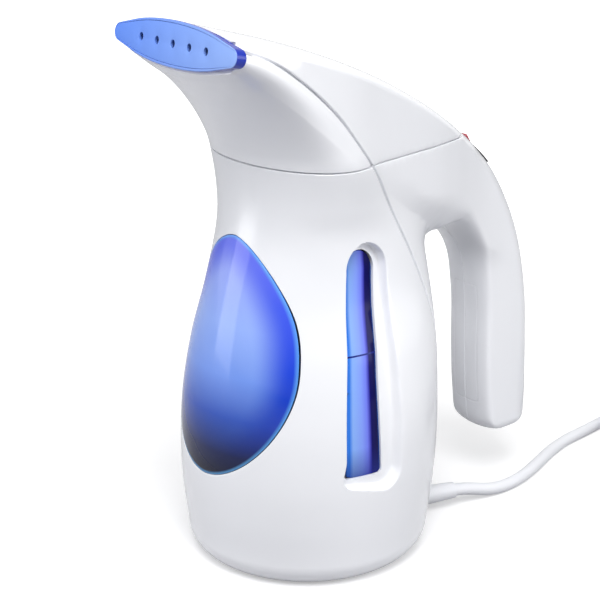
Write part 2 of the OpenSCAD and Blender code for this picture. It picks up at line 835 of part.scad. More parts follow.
// Floor of the head with the spigot that seats in the tank's mouth.
floor_z = seam_z + 2.5;
floor_t = 2.5;
spigot_r = mouth_r - run;
duct_r = 11;
head_screw_at = [[-16, 26], [-16, -26], [36, 0]];
module head_floor() {
    color([0.86, 0.87, 0.89])
        moulded()
            difference() {
                intersection() {
                    union() {
                        front_volume(wall + fit);
                        rear_volume(wall + fit);
                    }
                    slab(floor_z, floor_z + floor_t);
                }
                translate([0, 0, floor_z - 1])
                    cylinder(r = duct_r + fit, h = floor_t + 2, $fn = 64);
                for (p = head_screw_at)
                    translate([p[0], p[1], floor_z - 1])
                        cylinder(r = 1.5 + fit, h = floor_t + 2, $fn = 24);
            }
}
spigot_low = tank_top - 12;
module head_spigot() {
    color([0.80, 0.82, 0.86])
        rotate_extrude($fn = 64)
            polygon([[spigot_r - 2.5, spigot_low], [spigot_r - 1, spigot_low],
                [spigot_r - 1, seal_z - seal_h / 2], [spigot_r - 2, seal_z - seal_h / 2],
                [spigot_r - 2, seal_z + seal_h / 2], [spigot_r, seal_z + seal_h / 2],
                [spigot_r, floor_z - 2], [collar_r - 1, floor_z - 2], [collar_r - 1, floor_z],
                [duct_r, floor_z], [duct_r, floor_z - 2], [spigot_r - 2.5, floor_z - 4.5]]);
}
module head_screws() {
    color([0.65, 0.66, 0.68])
        for (p = head_screw_at)
            translate([p[0], p[1], floor_z])
                screw(3, 8);
}
seal_h = 3;
seal_z = spigot_low + 5;
module mouth_seal() {
    color([0.85, 0.45, 0.35])
        translate([0, 0, seal_z - seal_h / 2 + run / 2])
            difference() {
                cylinder(r = spigot_r - 0.1, h = seal_h - run, $fn = 64);
                translate([0, 0, -1])
                    cylinder(r = spigot_r - 2 + run, h = seal_h + 2, $fn = 64);
            }
}

// Steam duct: round at the floor, a wide mouth behind the nozzle.
// x, z of the middle; lean of the section; half width; half height
duct_rows = [
    [0, floor_z, 0, duct_r, duct_r],
    [0, floor_z + 4, 0, duct_r, duct_r],
    [0, floor_z + 8, 0, duct_r, duct_r],
    [-8, floor_z + 22, 35, 15, 10],
    [-26, floor_z + 36, 60, 24, 8],
    [-nozzle_reach + 17, nozzle_z - 7, 75, 29, 5.5],
    [-nozzle_reach + rim_depth + 5, nozzle_z - 2.5, 79, 32, 5]];
function duct_ring(r, inset) = [for (i = [0:23]) let (a = -360 * i / 24,
    d = (r[4] - inset) * cos(a))
    [r[0] + d * cos(r[2]), (r[3] - inset) * sin(a), r[1] + d * sin(r[2])]];
module duct_form(inset, over) {
    steps = [0, 1, 2, 2.5, 3, 3.5, 4, 4.5, 5, 5.5, 6];
    rings = [for (u = steps) duct_ring(along(duct_rows, u), inset)];
    low = [for (p = rings[0]) p - [0, 0, over]];
    high = [for (p = rings[10]) p - [over, 0, 0]];
    loft(over > 0 ? concat([low], rings, [high]) : rings);
}
module steam_duct() {
    color([0.82, 0.84, 0.88])
        moulded()
            difference() {
                duct_form(0, 0);
                duct_form(1.5, 2);
            }
}

// Nozzle stack along its own axis, from the back to the plate.
module baffle() {
    color([0.75, 0.76, 0.78])
        at_nozzle()
            translate([0, 0, -rim_depth])
                difference() {
                    linear_extrude(1)
                        nozzle_lens(4 + fit);
                    for (s = [-1, 1])
                        for (k = [-2:2])
                            translate([s * 2.5, k * hole_pitch / 2 * 1.2, -1])
                                cylinder(d = 2.4, h = 4, $fn = 24);
                }
}
module nozzle_gasket() {
    color([0.85, 0.45, 0.35])
        at_nozzle()
            translate([0, 0, -rim_depth])
                difference() {
                    linear_extrude(rim_depth - plate_t)
                        nozzle_lens(2.2);
                    translate([0, 0, -1])
                        linear_extrude(rim_depth + 2)
                            nozzle_lens(4);
                }
}
module nozzle_rim() {
    color([0.10, 0.18, 0.62])
        at_nozzle()
            translate([0, 0, -rim_depth])
                difference() {
                    linear_extrude(rim_depth)
                        nozzle_lens(0);
                    translate([0, 0, -1])
                        linear_extrude(rim_depth + 2)
                            nozzle_lens(2);
                }
}
module nozzle_plate() {
    color([0.50, 0.64, 0.95])
        at_nozzle()
            translate([0, 0, -plate_t])
                difference() {
                    linear_extrude(plate_t)
                        nozzle_lens(2 + fit);
                    for (k = [0:steam_holes - 1])
                        translate([0, (k - (steam_holes - 1) / 2) * hole_pitch, -1])
                            scale([hole_h / hole_w, 1, 1])
                                cylinder(d = hole_w, h = plate_t + 2, $fn = 24);
                }
}

// Cord on the table: points chosen along its route, from the gland to the coil.
cord_r = cord_d / 2;
gland_tip = base_r - 9 + gland_len;
cord_route = [[40, -10.7, 8], [58, -15.5, 8], [73, -19.6, 8], [82, -21.8, 7], [92, -23.4, 4.4],
    [102, -24, 3], [113, -23.2, 3], [125, -20, 3], [138, -15, 3], [152, -9.5, 3], [168, -5, 3],
    [186, -2.5, 3], [206, 0.5, 3.4], [225.7, 6.1, 4.3]];
cord_points = [for (k = [0:3 * (len(cord_route) - 1)]) along(cord_route, k / 3)];
module cord_free() {
    color(white)
        tube(cord_points, cord_r, 10);
}

// Coil beside the view: loops spiral in on the lower layer and out again on the upper one.
coil_at = [242, -44];
coil_step = cord_d + 0.8;
coil_steps = 24;
coil_turn = coil_loops / 2;
coil_start = 108;
tie_t = 1.3;
function coil_radius(t) = coil_r + coil_step * (abs(t - coil_turn) - coil_turn / 2);
function coil_climb(t) = t < -0.25 ? 0 : t > 0.25 ? 1 : 0.5 + 0.5 * sin(360 * t);
function coil_rise(t) = tie_t + cord_r + coil_step * coil_climb(t - coil_turn);
function coil_point(t) = let (a = coil_start - 360 * t, r = coil_radius(t))
    [coil_at[0] + r * cos(a), coil_at[1] + r * sin(a), coil_rise(t)];
// short tail from the last loop to the plug, resting on the coil's height
tail = [[238, 9.6, 11], [250, 12.4, 10.4], [262, 14.4, 10], [270, 15.4, 10]];
coil_points = concat([for (k = [0:coil_loops * coil_steps]) coil_point(k / coil_steps)], tail);
module cord_coil() {
    color(white)
        tube(coil_points, cord_r, 6);
}
coil_count = len(coil_points);
coil_least = min([for (a = [0:coil_count - 1]) for (b = [a + coil_steps / 2:1:coil_count - 1])
    norm(coil_points[a] - coil_points[b]) - cord_d]);
echo(coil_least_gap = coil_least);

// Strap round the loops, on the side away from the start.
tie_turn = 198;
module cord_tie() {
    long = coil_step * coil_turn + cord_d + 1.6;
    tall = coil_step + cord_d + 0.6;
    color([0.20, 0.20, 0.22])
        translate([coil_at[0], coil_at[1], 0])
            rotate([0, 0, tie_turn])
                translate([coil_r, 0, 0])
                    difference() {
                        box_at(long + 2 * tie_t, 6, 0, tall + 2 * tie_t);
                        box_at(long, 20, tie_t, tie_t + tall);
                    }
}

// Flat two-pin plug at the end of the tail, lying on the table.
plug_len = 34;
plug_w = 22;
plug_tall = 20;
module at_plug() {
    translate(tail[len(tail) - 1])
        rotate([0, 0, 7])
            children();
}
module plug_body() {
    color(white)
        at_plug()
            difference() {
                union() {
                    translate([10, 0, 0])
                        hull() {
                            translate([1, -plug_w / 2 + 4, -plug_tall / 2])
                                cube([plug_len - 14, plug_w - 8, plug_tall]);
                            translate([4, -plug_w / 2, -plug_tall / 2 + 4])
                                cube([plug_len - 14, plug_w, plug_tall - 8]);
                        }
                    translate([-8, 0, 0])
                        rotate([0, 90, 0])
                            cylinder(r1 = cord_r + 1, r2 = 7, h = 20, $fn = 32);
                }
                translate([-9, 0, 0])
                    rotate([0, 90, 0])
                        cylinder(r = cord_r + 0.1, h = 10, $fn = 32);
            }
}
blade_w = 6.3;
module plug_blades() {
    color([0.80, 0.75, 0.55])
        at_plug()
            for (s = [-1, 1])
                translate([plug_len, s * 6.35 - 0.75, -blade_w / 2])
                    cube([17, 1.5, blade_w]);
}

front_shell();
rear_shell();
handle_cover();
front_window();
gauge_left();
gauge_right();
water_tank();
tank_collar();
deck_plate();
deck_screws();
heater_plate();
heater_element();
heater_seal();
heater_screws();
thermostat();
thermal_fuse();
terminal_block();
wiring();
base_cover();
base_pads();
base_screws();
cord_gland();
cord_clamp();
clamp_screws();
switch_frame();
switch_body();
rocker_pin();
rocker();
head_front_shell();
head_rear_shell();
head_floor();
head_spigot();
head_screws();
mouth_seal();
steam_duct();
baffle();
nozzle_gasket();
nozzle_rim();
nozzle_plate();
cord_free();
cord_coil();
cord_tie();
plug_body();
plug_blades();
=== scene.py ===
import math

import bmesh
import bpy
import numpy as np
from mathutils import Matrix, Vector, geometry, kdtree
from mathutils.bvhtree import BVHTree


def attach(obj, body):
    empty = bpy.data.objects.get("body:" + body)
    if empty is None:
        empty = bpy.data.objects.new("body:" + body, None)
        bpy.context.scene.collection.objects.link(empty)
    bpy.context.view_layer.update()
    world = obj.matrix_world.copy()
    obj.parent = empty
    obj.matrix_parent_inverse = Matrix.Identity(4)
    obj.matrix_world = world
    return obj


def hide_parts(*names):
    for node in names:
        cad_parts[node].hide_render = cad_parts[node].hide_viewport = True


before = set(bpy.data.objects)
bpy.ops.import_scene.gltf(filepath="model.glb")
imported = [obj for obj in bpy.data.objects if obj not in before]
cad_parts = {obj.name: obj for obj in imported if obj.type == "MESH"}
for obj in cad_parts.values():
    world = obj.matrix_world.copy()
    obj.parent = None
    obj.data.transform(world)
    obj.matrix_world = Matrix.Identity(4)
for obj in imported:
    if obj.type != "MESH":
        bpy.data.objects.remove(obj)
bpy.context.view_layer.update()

# The view: a long lens in front of the steamer and to its left, a little above it,
# on a pale floor that runs out of the frame and keeps a soft shadow.
scene = bpy.context.scene
scene.view_settings.view_transform = "Standard"
lens = bpy.data.cameras.new("view")
lens.lens = 93.79
lens.sensor_width = 36
lens.clip_start = 0.02
camera = bpy.data.objects.new("view", lens)
camera.location = (-0.4002, -0.5122, 0.3375)
looked_at = Vector((-0.00373, 0, 0.11513))
camera.rotation_euler = (looked_at - camera.location).to_track_quat("-Z", "Y").to_euler()
scene.collection.objects.link(camera)
scene.camera = camera


def softbox(name, at, towards, wide, tall, watts, tint):
    lamp = bpy.data.lights.new(name, "AREA")
    lamp.shape = "RECTANGLE"
    lamp.size = wide
    lamp.size_y = tall
    lamp.energy = watts
    lamp.color = tint
    box = bpy.data.objects.new(name, lamp)
    box.location = at
    box.rotation_euler = (Vector(towards) - Vector(at)).to_track_quat("-Z", "Y").to_euler()
    scene.collection.objects.link(box)


softbox("key_box", (-0.50, -0.62, 1.30), (0, 0, 0.12), 0.8, 0.8, 20.5, (1.0, 0.995, 0.99))
softbox("side_box", (0.60, -1.05, 0.60), (0.05, 0, 0.12), 0.5, 0.9, 5.5, (1.0, 1.0, 1.0))
softbox("back_box", (-0.95, 0.62, 0.40), (-0.02, 0, 0.12), 0.5, 1.0, 5.0, (0.97, 0.98, 1.0))
softbox("top_box", (0.25, -0.10, 1.25), (0.02, 0, 0.15), 0.9, 0.9, 0.6, (1.0, 1.0, 1.0))

sky = bpy.data.worlds.new("studio")
sky.use_nodes = True
scene.world = sky
nodes = sky.node_tree.nodes
wires = sky.node_tree.links
rays = nodes.new("ShaderNodeLightPath")
shown = nodes.new("ShaderNodeMath")
shown.operation = "MAXIMUM"
wires.new(rays.outputs["Is Camera Ray"], shown.inputs[0])
wires.new(rays.outputs["Is Transmission Ray"], shown.inputs[1])
seen = nodes.new("ShaderNodeMath")
seen.operation = "MAXIMUM"
wires.new(shown.outputs[0], seen.inputs[0])
wires.new(rays.outputs["Is Glossy Ray"], seen.inputs[1])
soft_light = nodes["Background"]
soft_light.inputs["Color"].default_value = (0.93, 0.95, 1.0, 1)
soft_light.inputs["Strength"].default_value = 0.16
white_sky = nodes.new("ShaderNodeBackground")
white_sky.inputs["Color"].default_value = (1, 1, 1, 1)
white_sky.inputs["Strength"].default_value = 1.0
pick = nodes.new("ShaderNodeMixShader")
wires.new(seen.outputs[0], pick.inputs[0])
wires.new(soft_light.outputs[0], pick.inputs[1])
wires.new(white_sky.outputs[0], pick.inputs[2])
wires.new(pick.outputs[0], nodes["World Output"].inputs["Surface"])

bm = bmesh.new()
bmesh.ops.create_circle(bm, cap_ends=True, segments=64, radius=3.0)
mesh = bpy.data.meshes.new("floor")
bm.to_mesh(mesh)
bm.free()
floor = bpy.data.objects.new("floor", mesh)
scene.collection.objects.link(floor)
pale = bpy.data.materials.new("pale_floor")
pale.use_nodes = True
nodes = pale.node_tree.nodes
wires = pale.node_tree.links
nodes["Principled BSDF"].inputs["Roughness"].default_value = 0.9
nodes["Principled BSDF"].inputs["Specular IOR Level"].default_value = 0.1
rays = nodes.new("ShaderNodeLightPath")
bounce = nodes.new("ShaderNodeMix")
bounce.data_type = "RGBA"
bounce.inputs["A"].default_value = (0.92, 0.92, 0.93, 1)
bounce.inputs["B"].default_value = (0.40, 0.40, 0.42, 1)
wires.new(rays.outputs["Is Diffuse Ray"], bounce.inputs["Factor"])
wires.new(bounce.outputs["Result"], nodes["Principled BSDF"].inputs["Base Color"])
place = nodes.new("ShaderNodeTexCoord")
apart = nodes.new("ShaderNodeVectorMath")
apart.operation = "LENGTH"
wires.new(place.outputs["Object"], apart.inputs[0])
clear = nodes.new("ShaderNodeMapRange")
clear.inputs["From Min"].default_value = 0.06
clear.inputs["From Max"].default_value = 0.45
clear.inputs["To Min"].default_value = 0.25
clear.inputs["To Max"].default_value = 0.99
wires.new(apart.outputs["Value"], clear.inputs["Value"])
share = nodes.new("ShaderNodeMath")
share.operation = "MULTIPLY"
wires.new(rays.outputs["Is Camera Ray"], share.inputs[0])
wires.new(clear.outputs["Result"], share.inputs[1])
glow = nodes.new("ShaderNodeEmission")
glow.inputs["Color"].default_value = (1, 1, 1, 1)
glow.inputs["Strength"].default_value = 1.5
pick = nodes.new("ShaderNodeMixShader")
wires.new(share.outputs[0], pick.inputs[0])
wires.new(nodes["Principled BSDF"].outputs[0], pick.inputs[1])
wires.new(glow.outputs[0], pick.inputs[2])
wires.new(pick.outputs[0], nodes["Material Output"].inputs["Surface"])
mesh.materials.append(pale)


# Mains cord: 6 mm white PVC sheath on two cores, straight out of the strain relief,
# down to the table, along it to a stored coil of eleven loops, then a short tail to the plug.
def along(rows, u):
    rows = np.asarray(rows, float)
    padded = np.vstack([2 * rows[0] - rows[1], rows, 2 * rows[-1] - rows[-2]])
    u = np.atleast_1d(np.asarray(u, float))
    k = np.minimum(np.floor(u).astype(int), len(rows) - 2)
    a, b, c, d = padded[k], padded[k + 1], padded[k + 2], padded[k + 3]
    t = (u - k)[:, None]
    return b + 0.5 * t * ((c - a) + t * ((2 * a - 5 * b + 4 * c - d) + t * (3 * b - 3 * c + d - a)))


MM = 0.001
cord_route = [(40, -10.7, 8), (58, -15.5, 8), (73, -19.6, 8), (82, -21.8, 7), (92, -23.4, 4.4), (102, -24, 3),
    (113, -23.2, 3), (125, -20, 3), (138, -15, 3), (152, -9.5, 3), (168, -5, 3), (186, -2.5, 3),
    (206, 0.5, 3.4), (225.7, 6.1, 4.3)]
cord_tail = [(238, 9.6, 11), (250, 12.4, 10.4), (262, 14.4, 10), (270, 15.4, 10)]
cord_radius = 3
coil_middle = (242, -44)
coil_radius = 34
coil_low = 4.3
coil_step = 6.8
coil_loops = 11
loop_points = 24


def coil_point(t):
    past = t - coil_loops / 2
    turn = math.radians(108 - 360 * t)
    r = coil_radius + coil_step * (abs(past) - coil_loops / 4)
    climb = 0 if past < -0.25 else 1 if past > 0.25 else 0.5 + 0.5 * math.sin(2 * math.pi * past)
    return (coil_middle[0] + r * math.cos(turn), coil_middle[1] + r * math.sin(turn), coil_low + coil_step * climb)


cord_points = [tuple(p) for p in along(cord_route, np.arange(3, 38) / 3)]
cord_points += [coil_point(k / loop_points) for k in range(coil_loops * loop_points + 1)]
cord_points += cord_tail
cord_curve = bpy.data.curves.new("mains_cord", "CURVE")
cord_curve.dimensions = "3D"
cord_curve.bevel_depth = cord_radius * MM
cord_curve.bevel_resolution = 4
cord_curve.resolution_u = 3
cord_curve.use_fill_caps = True
spline = cord_curve.splines.new("BEZIER")
spline.bezier_points.add(len(cord_points) - 1)
for knot, p in zip(spline.bezier_points, cord_points):
    knot.co = Vector(p) * MM
    knot.handle_left_type = knot.handle_right_type = "AUTO"
mains_cord = bpy.data.objects.new("mains_cord", cord_curve)
scene.collection.objects.link(mains_cord)

# every moulded finish shares one group: a slow drift of tone, uneven polish and a fine mould grain
moulded_surface = bpy.data.node_groups.new("moulded_surface", "ShaderNodeTree")
sockets = moulded_surface.interface
sockets.new_socket("Colour", in_out="INPUT", socket_type="NodeSocketColor")
sockets.new_socket("Drift", in_out="INPUT", socket_type="NodeSocketFloat")
sockets.new_socket("Polish", in_out="INPUT", socket_type="NodeSocketFloat")
sockets.new_socket("Colour", in_out="OUTPUT", socket_type="NodeSocketColor")
sockets.new_socket("Roughness", in_out="OUTPUT", socket_type="NodeSocketFloat")
sockets.new_socket("Height", in_out="OUTPUT", socket_type="NodeSocketFloat")
nodes = moulded_surface.nodes
wires = moulded_surface.links
given = nodes.new("NodeGroupInput")
result = nodes.new("NodeGroupOutput")
place = nodes.new("ShaderNodeTexCoord")
slow = nodes.new("ShaderNodeTexNoise")
slow.inputs["Scale"].default_value = 14
slow.inputs["Detail"].default_value = 3
wires.new(place.outputs["Object"], slow.inputs["Vector"])
tone = nodes.new("ShaderNodeMapRange")
tone.inputs["From Min"].default_value = 0.3
tone.inputs["From Max"].default_value = 0.7
wires.new(slow.outputs["Fac"], tone.inputs["Value"])
amount = nodes.new("ShaderNodeMath")
amount.operation = "MULTIPLY"
wires.new(tone.outputs["Result"], amount.inputs[0])
wires.new(given.outputs["Drift"], amount.inputs[1])
shade = nodes.new("ShaderNodeMix")
shade.data_type = "RGBA"
shade.blend_type = "MULTIPLY"
shade.inputs["B"].default_value = (0.72, 0.74, 0.80, 1)
wires.new(amount.outputs[0], shade.inputs["Factor"])
wires.new(given.outputs["Colour"], shade.inputs["A"])
wires.new(shade.outputs["Result"], result.inputs["Colour"])
patches = nodes.new("ShaderNodeTexNoise")
patches.inputs["Scale"].default_value = 40
patches.inputs["Detail"].default_value = 1
wires.new(place.outputs["Object"], patches.inputs["Vector"])
uneven = nodes.new("ShaderNodeMath")
uneven.operation = "MULTIPLY_ADD"
uneven.inputs[1].default_value = 0.04
uneven.inputs[2].default_value = -0.02
wires.new(patches.outputs["Fac"], uneven.inputs[0])
rough = nodes.new("ShaderNodeMath")
rough.operation = "ADD"
rough.use_clamp = True
wires.new(uneven.outputs[0], rough.inputs[0])
wires.new(given.outputs["Polish"], rough.inputs[1])
wires.new(rough.outputs[0], result.inputs["Roughness"])
grain = nodes.new("ShaderNodeTexNoise")
grain.inputs["Scale"].default_value = 700
grain.inputs["Detail"].default_value = 2
wires.new(place.outputs["Object"], grain.inputs["Vector"])
wires.new(grain.outputs["Fac"], result.inputs["Height"])


def moulded(name, colour, polish, drift=0.10, grain=0.02, **plain):
    material = bpy.data.materials.new(name)
    material.use_nodes = True
    tree = material.node_tree
    shader = tree.nodes["Principled BSDF"]
    surface = tree.nodes.new("ShaderNodeGroup")
    surface.name = "surface"
    surface.node_tree = moulded_surface
    surface.inputs["Colour"].default_value = (*colour, 1)
    surface.inputs["Drift"].default_value = drift
    surface.inputs["Polish"].default_value = polish
    bump = tree.nodes.new("ShaderNodeBump")
    bump.inputs["Strength"].default_value = grain
    bump.inputs["Distance"].default_value = 0.0004
    tree.links.new(surface.outputs["Height"], bump.inputs["Height"])
    tree.links.new(surface.outputs["Colour"], shader.inputs["Base Color"])
    tree.links.new(surface.outputs["Roughness"], shader.inputs["Roughness"])
    tree.links.new(bump.outputs["Normal"], shader.inputs["Normal"])
    for socket, value in plain.items():
        shader.inputs[socket.replace("_", " ")].default_value = value
    return material


cord_sheath = moulded("cord_sheath", (0.80, 0.81, 0.84), 0.42, grain=0.05)
cord_curve.materials.append(cord_sheath)
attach(mains_cord, "body")
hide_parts("cord_free", "cord_coil")


# Front shell: the vase-shaped half of the body, one injection moulding in cool white ABS, polished.
# It carries the teardrop window and the two gauge pockets and ends at the groove and at the seam.
front_rows = [(-53.5, 0, 0.5, 0, 53.5, 54, 0, 2), (-54, 12, 0.8, 12, 54.2, 55.5, 12, 2),
    (-56.2, 30, 0.8, 30, 55.8, 57.2, 30, 2.05), (-57, 50, 0.8, 50, 56.7, 57.2, 50, 2.15),
    (-55.6, 75, 1.2, 75, 55.4, 55.2, 75, 2.35), (-51.5, 100, -0.8, 100, 50, 55, 100, 2.6),
    (-45.3, 125, -2.5, 125, 42.1, 55, 125, 2.6), (-38.5, 150, -4.5, 150, 38.5, 50, 150, 2.5),
    (-36.1, 166, -7, 166, 40.35, 34, 166, 2.4), (-36.7, 182.5, -9.8, 182.5, 43.8, 19, 182.5, 2.3),
    (-38.5, 190, -15.5, 193, 43.9, 8, 199, 2.2), (-43, 199, -24, 204, 43.9, -4, 210, 2.1),
    (-49, 207.5, -34, 214.5, 43.8, -17, 219.5, 2), (-56.3, 215, -45, 223.5, 43.6, -34, 229, 2),
    (-63.5, 220.5, -56.5, 230, 43.3, -50, 236, 2), (-68.38, 225.36, -66.7, 234, 43, -65.02, 242.64, 2)]
groove_line = [(66, 43), (56, 47), (51, 55), (49, 75), (45, 98), (38.5, 119), (31, 136), (23.5, 150), (9.5, 173),
    (2.5, 182.5), (-5, 191.5), (-15.5, 204), (-26, 214), (-36, 222), (-46, 229), (-55, 233.8), (-72, 240)]
base_round = 11
groove_half = 0.4
seam_z = 182.5
seam_half = 0.3
edge_round = 0.45
groove_round = 0.8
seam_round = 0.2


def front_ring(r, count):
    turn = np.arange(count) * 2 * np.pi / count
    c = np.cos(turn)
    s = np.sin(turn)
    low = min(max(r[1], 0), base_round)
    inset = base_round - math.sqrt(base_round ** 2 - (base_round - low) ** 2)
    ahead = np.array([r[0] - r[2], r[1] - r[3]])
    behind = np.array([r[5] - r[2], r[6] - r[3]])
    ahead *= 1 - inset / np.linalg.norm(ahead)
    behind *= 1 - inset / np.linalg.norm(behind)
    power = np.where(c >= 0, 1, 2 / r[7])
    reach = np.abs(c) ** power
    side = np.where((c >= 0)[:, None], ahead, behind) * reach[:, None]
    wide = (r[4] - inset) * np.sign(s) * np.abs(s) ** power
    return np.stack([r[2] + side[:, 0], wide, r[3] + side[:, 1]], axis=1)


def skin(rings, looped=False):
    rings = np.asarray(rings) * MM
    rows, count = rings.shape[:2]
    spans = rows if looped else rows - 1
    bm = bmesh.new()
    bmesh.ops.create_grid(bm, x_segments=count, y_segments=spans, size=1)
    for v in bm.verts:
        i = round((v.co.x + 1) * count / 2) % count
        j = round((v.co.y + 1) * spans / 2) % rows
        v.co = rings[j, i]
    bmesh.ops.remove_doubles(bm, verts=bm.verts, dist=1e-6)
    if not looped:
        bmesh.ops.holes_fill(bm, edges=[e for e in bm.edges if e.is_boundary], sides=0)
    bmesh.ops.recalc_face_normals(bm, faces=bm.faces)
    return bm


def places(bm):
    return np.array([v.co for v in bm.verts]) / MM


def to_line(points, line, closed=False):
    a = np.asarray(line, float)
    b = np.roll(a, -1, axis=0)
    if not closed:
        a, b = a[:-1], b[:-1]
    best = np.full(len(points), 1e9)
    for p, q in zip(a, b):
        way = q - p
        t = np.clip(((points - p) @ way) / max(way @ way, 1e-12), 0, 1)
        best = np.minimum(best, np.hypot(*(points - p - t[:, None] * way).T))
    return best


def inside(points, outline):
    x, y = points[:, 0], points[:, 1]
    a = np.asarray(outline, float)
    within = np.zeros(len(points), bool)
    for p, q in zip(a, np.roll(a, -1, axis=0)):
        if p[1] == q[1]:
            continue
        crosses = (p[1] > y) != (q[1] > y)
        within ^= crosses & (x < (q[0] - p[0]) * (y - p[1]) / (q[1] - p[1]) + p[0])
    return within


groove_path = along(groove_line, np.linspace(0, len(groove_line) - 1, 161))
front_outline = np.vstack([groove_path, [(-200, 240), (-200, -50), (66, -50)]])


def ahead_of_groove(points):
    flat = points[:, [0, 2]]
    return np.where(inside(flat, front_outline), 1, -1) * to_line(flat, groove_path)


def cut(bm, field):
    bm.verts.ensure_lookup_table()
    bm.verts.index_update()
    values = field(places(bm))
    crossed = [e for e in bm.edges if values[e.verts[0].index] * values[e.verts[1].index] < 0]
    if crossed:
        start = np.array([e.verts[0].co for e in crossed]) / MM
        end = np.array([e.verts[1].co for e in crossed]) / MM
        low = values[[e.verts[0].index for e in crossed]]
        high = values[[e.verts[1].index for e in crossed]]
        t0, t1 = np.zeros(len(crossed)), np.ones(len(crossed))
        t = low / (low - high)
        for _ in range(4):
            here = field(start + t[:, None] * (end - start))
            same = here * low > 0
            t0, low = np.where(same, t, t0), np.where(same, here, low)
            t1, high = np.where(same, t1, t), np.where(same, high, here)
            t = t0 + (t1 - t0) * np.clip(low / np.where(low == high, 1, low - high), 0, 1)
        fresh = [bmesh.utils.edge_split(e, e.verts[0], float(min(max(k, 0.002), 0.998)))[1]
            for e, k in zip(crossed, t)]
        bmesh.ops.connect_verts(bm, verts=fresh, check_degenerate=False)
    bm.verts.index_update()
    values = field(places(bm))
    for v in (fresh if crossed else []):
        values[v.index] = 0
    gone = [f for f in bm.faces if sum(values[v.index] for v in f.verts) < 0]
    bmesh.ops.delete(bm, geom=gone, context="FACES")
    rim = [v for v in (fresh if crossed else []) if v.is_valid]
    bmesh.ops.remove_doubles(bm, verts=rim, dist=0.12 * MM)


def edge_at(bm, test):
    return [e for e in bm.edges if e.is_boundary and all(test(v.co / MM) for v in e.verts)]


def lip(bm, edges, steps, share=None):
    bm.normal_update()
    sums = {}
    for e in edges:
        face = e.link_faces[0]
        out = (e.verts[1].co - e.verts[0].co).cross(face.normal)
        middle = (e.verts[0].co + e.verts[1].co) / 2
        if out.dot(middle - face.calc_center_median()) < 0:
            out.negate()
        for v in e.verts:
            sums.setdefault(v, []).append(out.normalized())
    base = {}
    for v, outs in sums.items():
        n = v.normal.copy()
        t = sum(outs, Vector())
        t = (t - n * t.dot(n)).normalized()
        reach = 1 / max(0.6, t.dot(outs[0]))
        base[v] = (v.co.copy(), t * reach, n, 1.0 if share is None else share(v.co / MM))
    ring = list(edges)
    for across, down in steps:
        found = {tuple(v.co): base[v] for v in base}
        grown = bmesh.ops.extrude_edge_only(bm, edges=ring)["geom"]
        fresh = [g for g in grown if isinstance(g, bmesh.types.BMVert)]
        ring = [g for g in grown if isinstance(g, bmesh.types.BMEdge) and g.is_boundary]
        base = {v: found[tuple(v.co)] for v in fresh}
        for v, (p, t, n, s) in base.items():
            v.co = p + (t * across * s + n * down) * MM
    return ring


def rounded(r, depth, steps=4):
    arc = [(r * math.sin(math.pi / 2 * k / steps), -r * (1 - math.cos(math.pi / 2 * k / steps)))
        for k in range(1, steps + 1)]
    return arc + [(r, -depth)]


def at_seam(r):
    return lambda p: seam_round / r if abs(abs(p.z - seam_z) - seam_half - seam_round) < 0.02 else 1.0


def piece(bm, name, material, body, slot, *nodes, sharp=38):
    mesh = bpy.data.meshes.new(name)
    bm.to_mesh(mesh)
    bm.free()
    mesh.validate(clean_customdata=False)
    mesh.materials.append(material)
    mesh.shade_smooth()
    mesh.set_sharp_from_angle(angle=math.radians(sharp))
    made = bpy.data.objects.new(name, mesh)
    scene.collection.objects.link(made)
    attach(made, body)
    if nodes:
        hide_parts(*nodes)


def end_at_seam(bm, above):
    bmesh.ops.bisect_plane(bm, geom=bm.verts[:] + bm.edges[:] + bm.faces[:], dist=1e-7, clear_outer=True,
        plane_co=(0, 0, (seam_z + above * seam_half + above * seam_round) * MM), plane_no=(0, 0, -above))


front_sides = 208
row_steps = 16
fine = np.linspace(0, 1, 400)
dense = along(front_rows, fine)
low_rows = np.interp(base_round * (1 - np.cos(np.linspace(0, np.pi / 2, 15))), dense[:, 1], fine)
high_rows = np.arange(row_steps - 1, (len(front_rows) - 1) * row_steps + 1) / row_steps
front_solid = skin([front_ring(r, front_sides) for r in along(front_rows, np.concatenate([low_rows, high_rows]))])

opening_gap = 0.15
opening_round = 0.3
window_half = 38.8
window_z = 92
window_up = 59
window_down = 44
window_path = [(window_half * (1 - abs(t) ** 1.8) ** 0.58 if t > 0 else window_half * (1 - t * t) ** 0.54,
    window_z + t * (window_up if t > 0 else window_down)) for t in np.cos(np.linspace(0, np.pi, 121))]
window_path += [(-y, z) for y, z in window_path[-2:0:-1]]


def off_window(points):
    flat = points[:, [1, 2]]
    apart = np.where(inside(flat, window_path), -1, 1) * to_line(flat, window_path, True)
    return np.where(points[:, 0] < 0, apart, 30.0)


gauge_top_x, gauge_top_z, gauge_top_half = -0.6, 138.2, 8
gauge_foot_z = 51.2
gauge_foot_half = 9
gauge_foot_round = 2
gauge_rows = along([(gauge_top_x, gauge_top_z, gauge_top_half), (-2.6, 123.7, 8), (-5.3, 107.3, 8.1),
    (-8, 90.7, 8.2), (-9.6, 73.6, 8.5), (-9.8, gauge_foot_z, gauge_foot_half)], np.linspace(0, 5, 61))
foot_arc = [(gauge_foot_round - gauge_foot_round * math.cos(a), gauge_foot_round - gauge_foot_round * math.sin(a))
    for a in np.linspace(0, np.pi / 2, 7)]
gauge_foot_x = gauge_rows[-1][0]
above_foot = [row for row in gauge_rows if row[1] > gauge_foot_z + gauge_foot_round]
gauge_path = [(gauge_top_x - gauge_top_half * math.cos(a), gauge_top_z + gauge_top_half * math.sin(a))
    for a in np.linspace(np.pi, 0, 33)[:-1]]
gauge_path += [(x - half, z) for x, z, half in above_foot]
gauge_path += [(gauge_foot_x - gauge_foot_half + a, gauge_foot_z + b) for a, b in foot_arc]
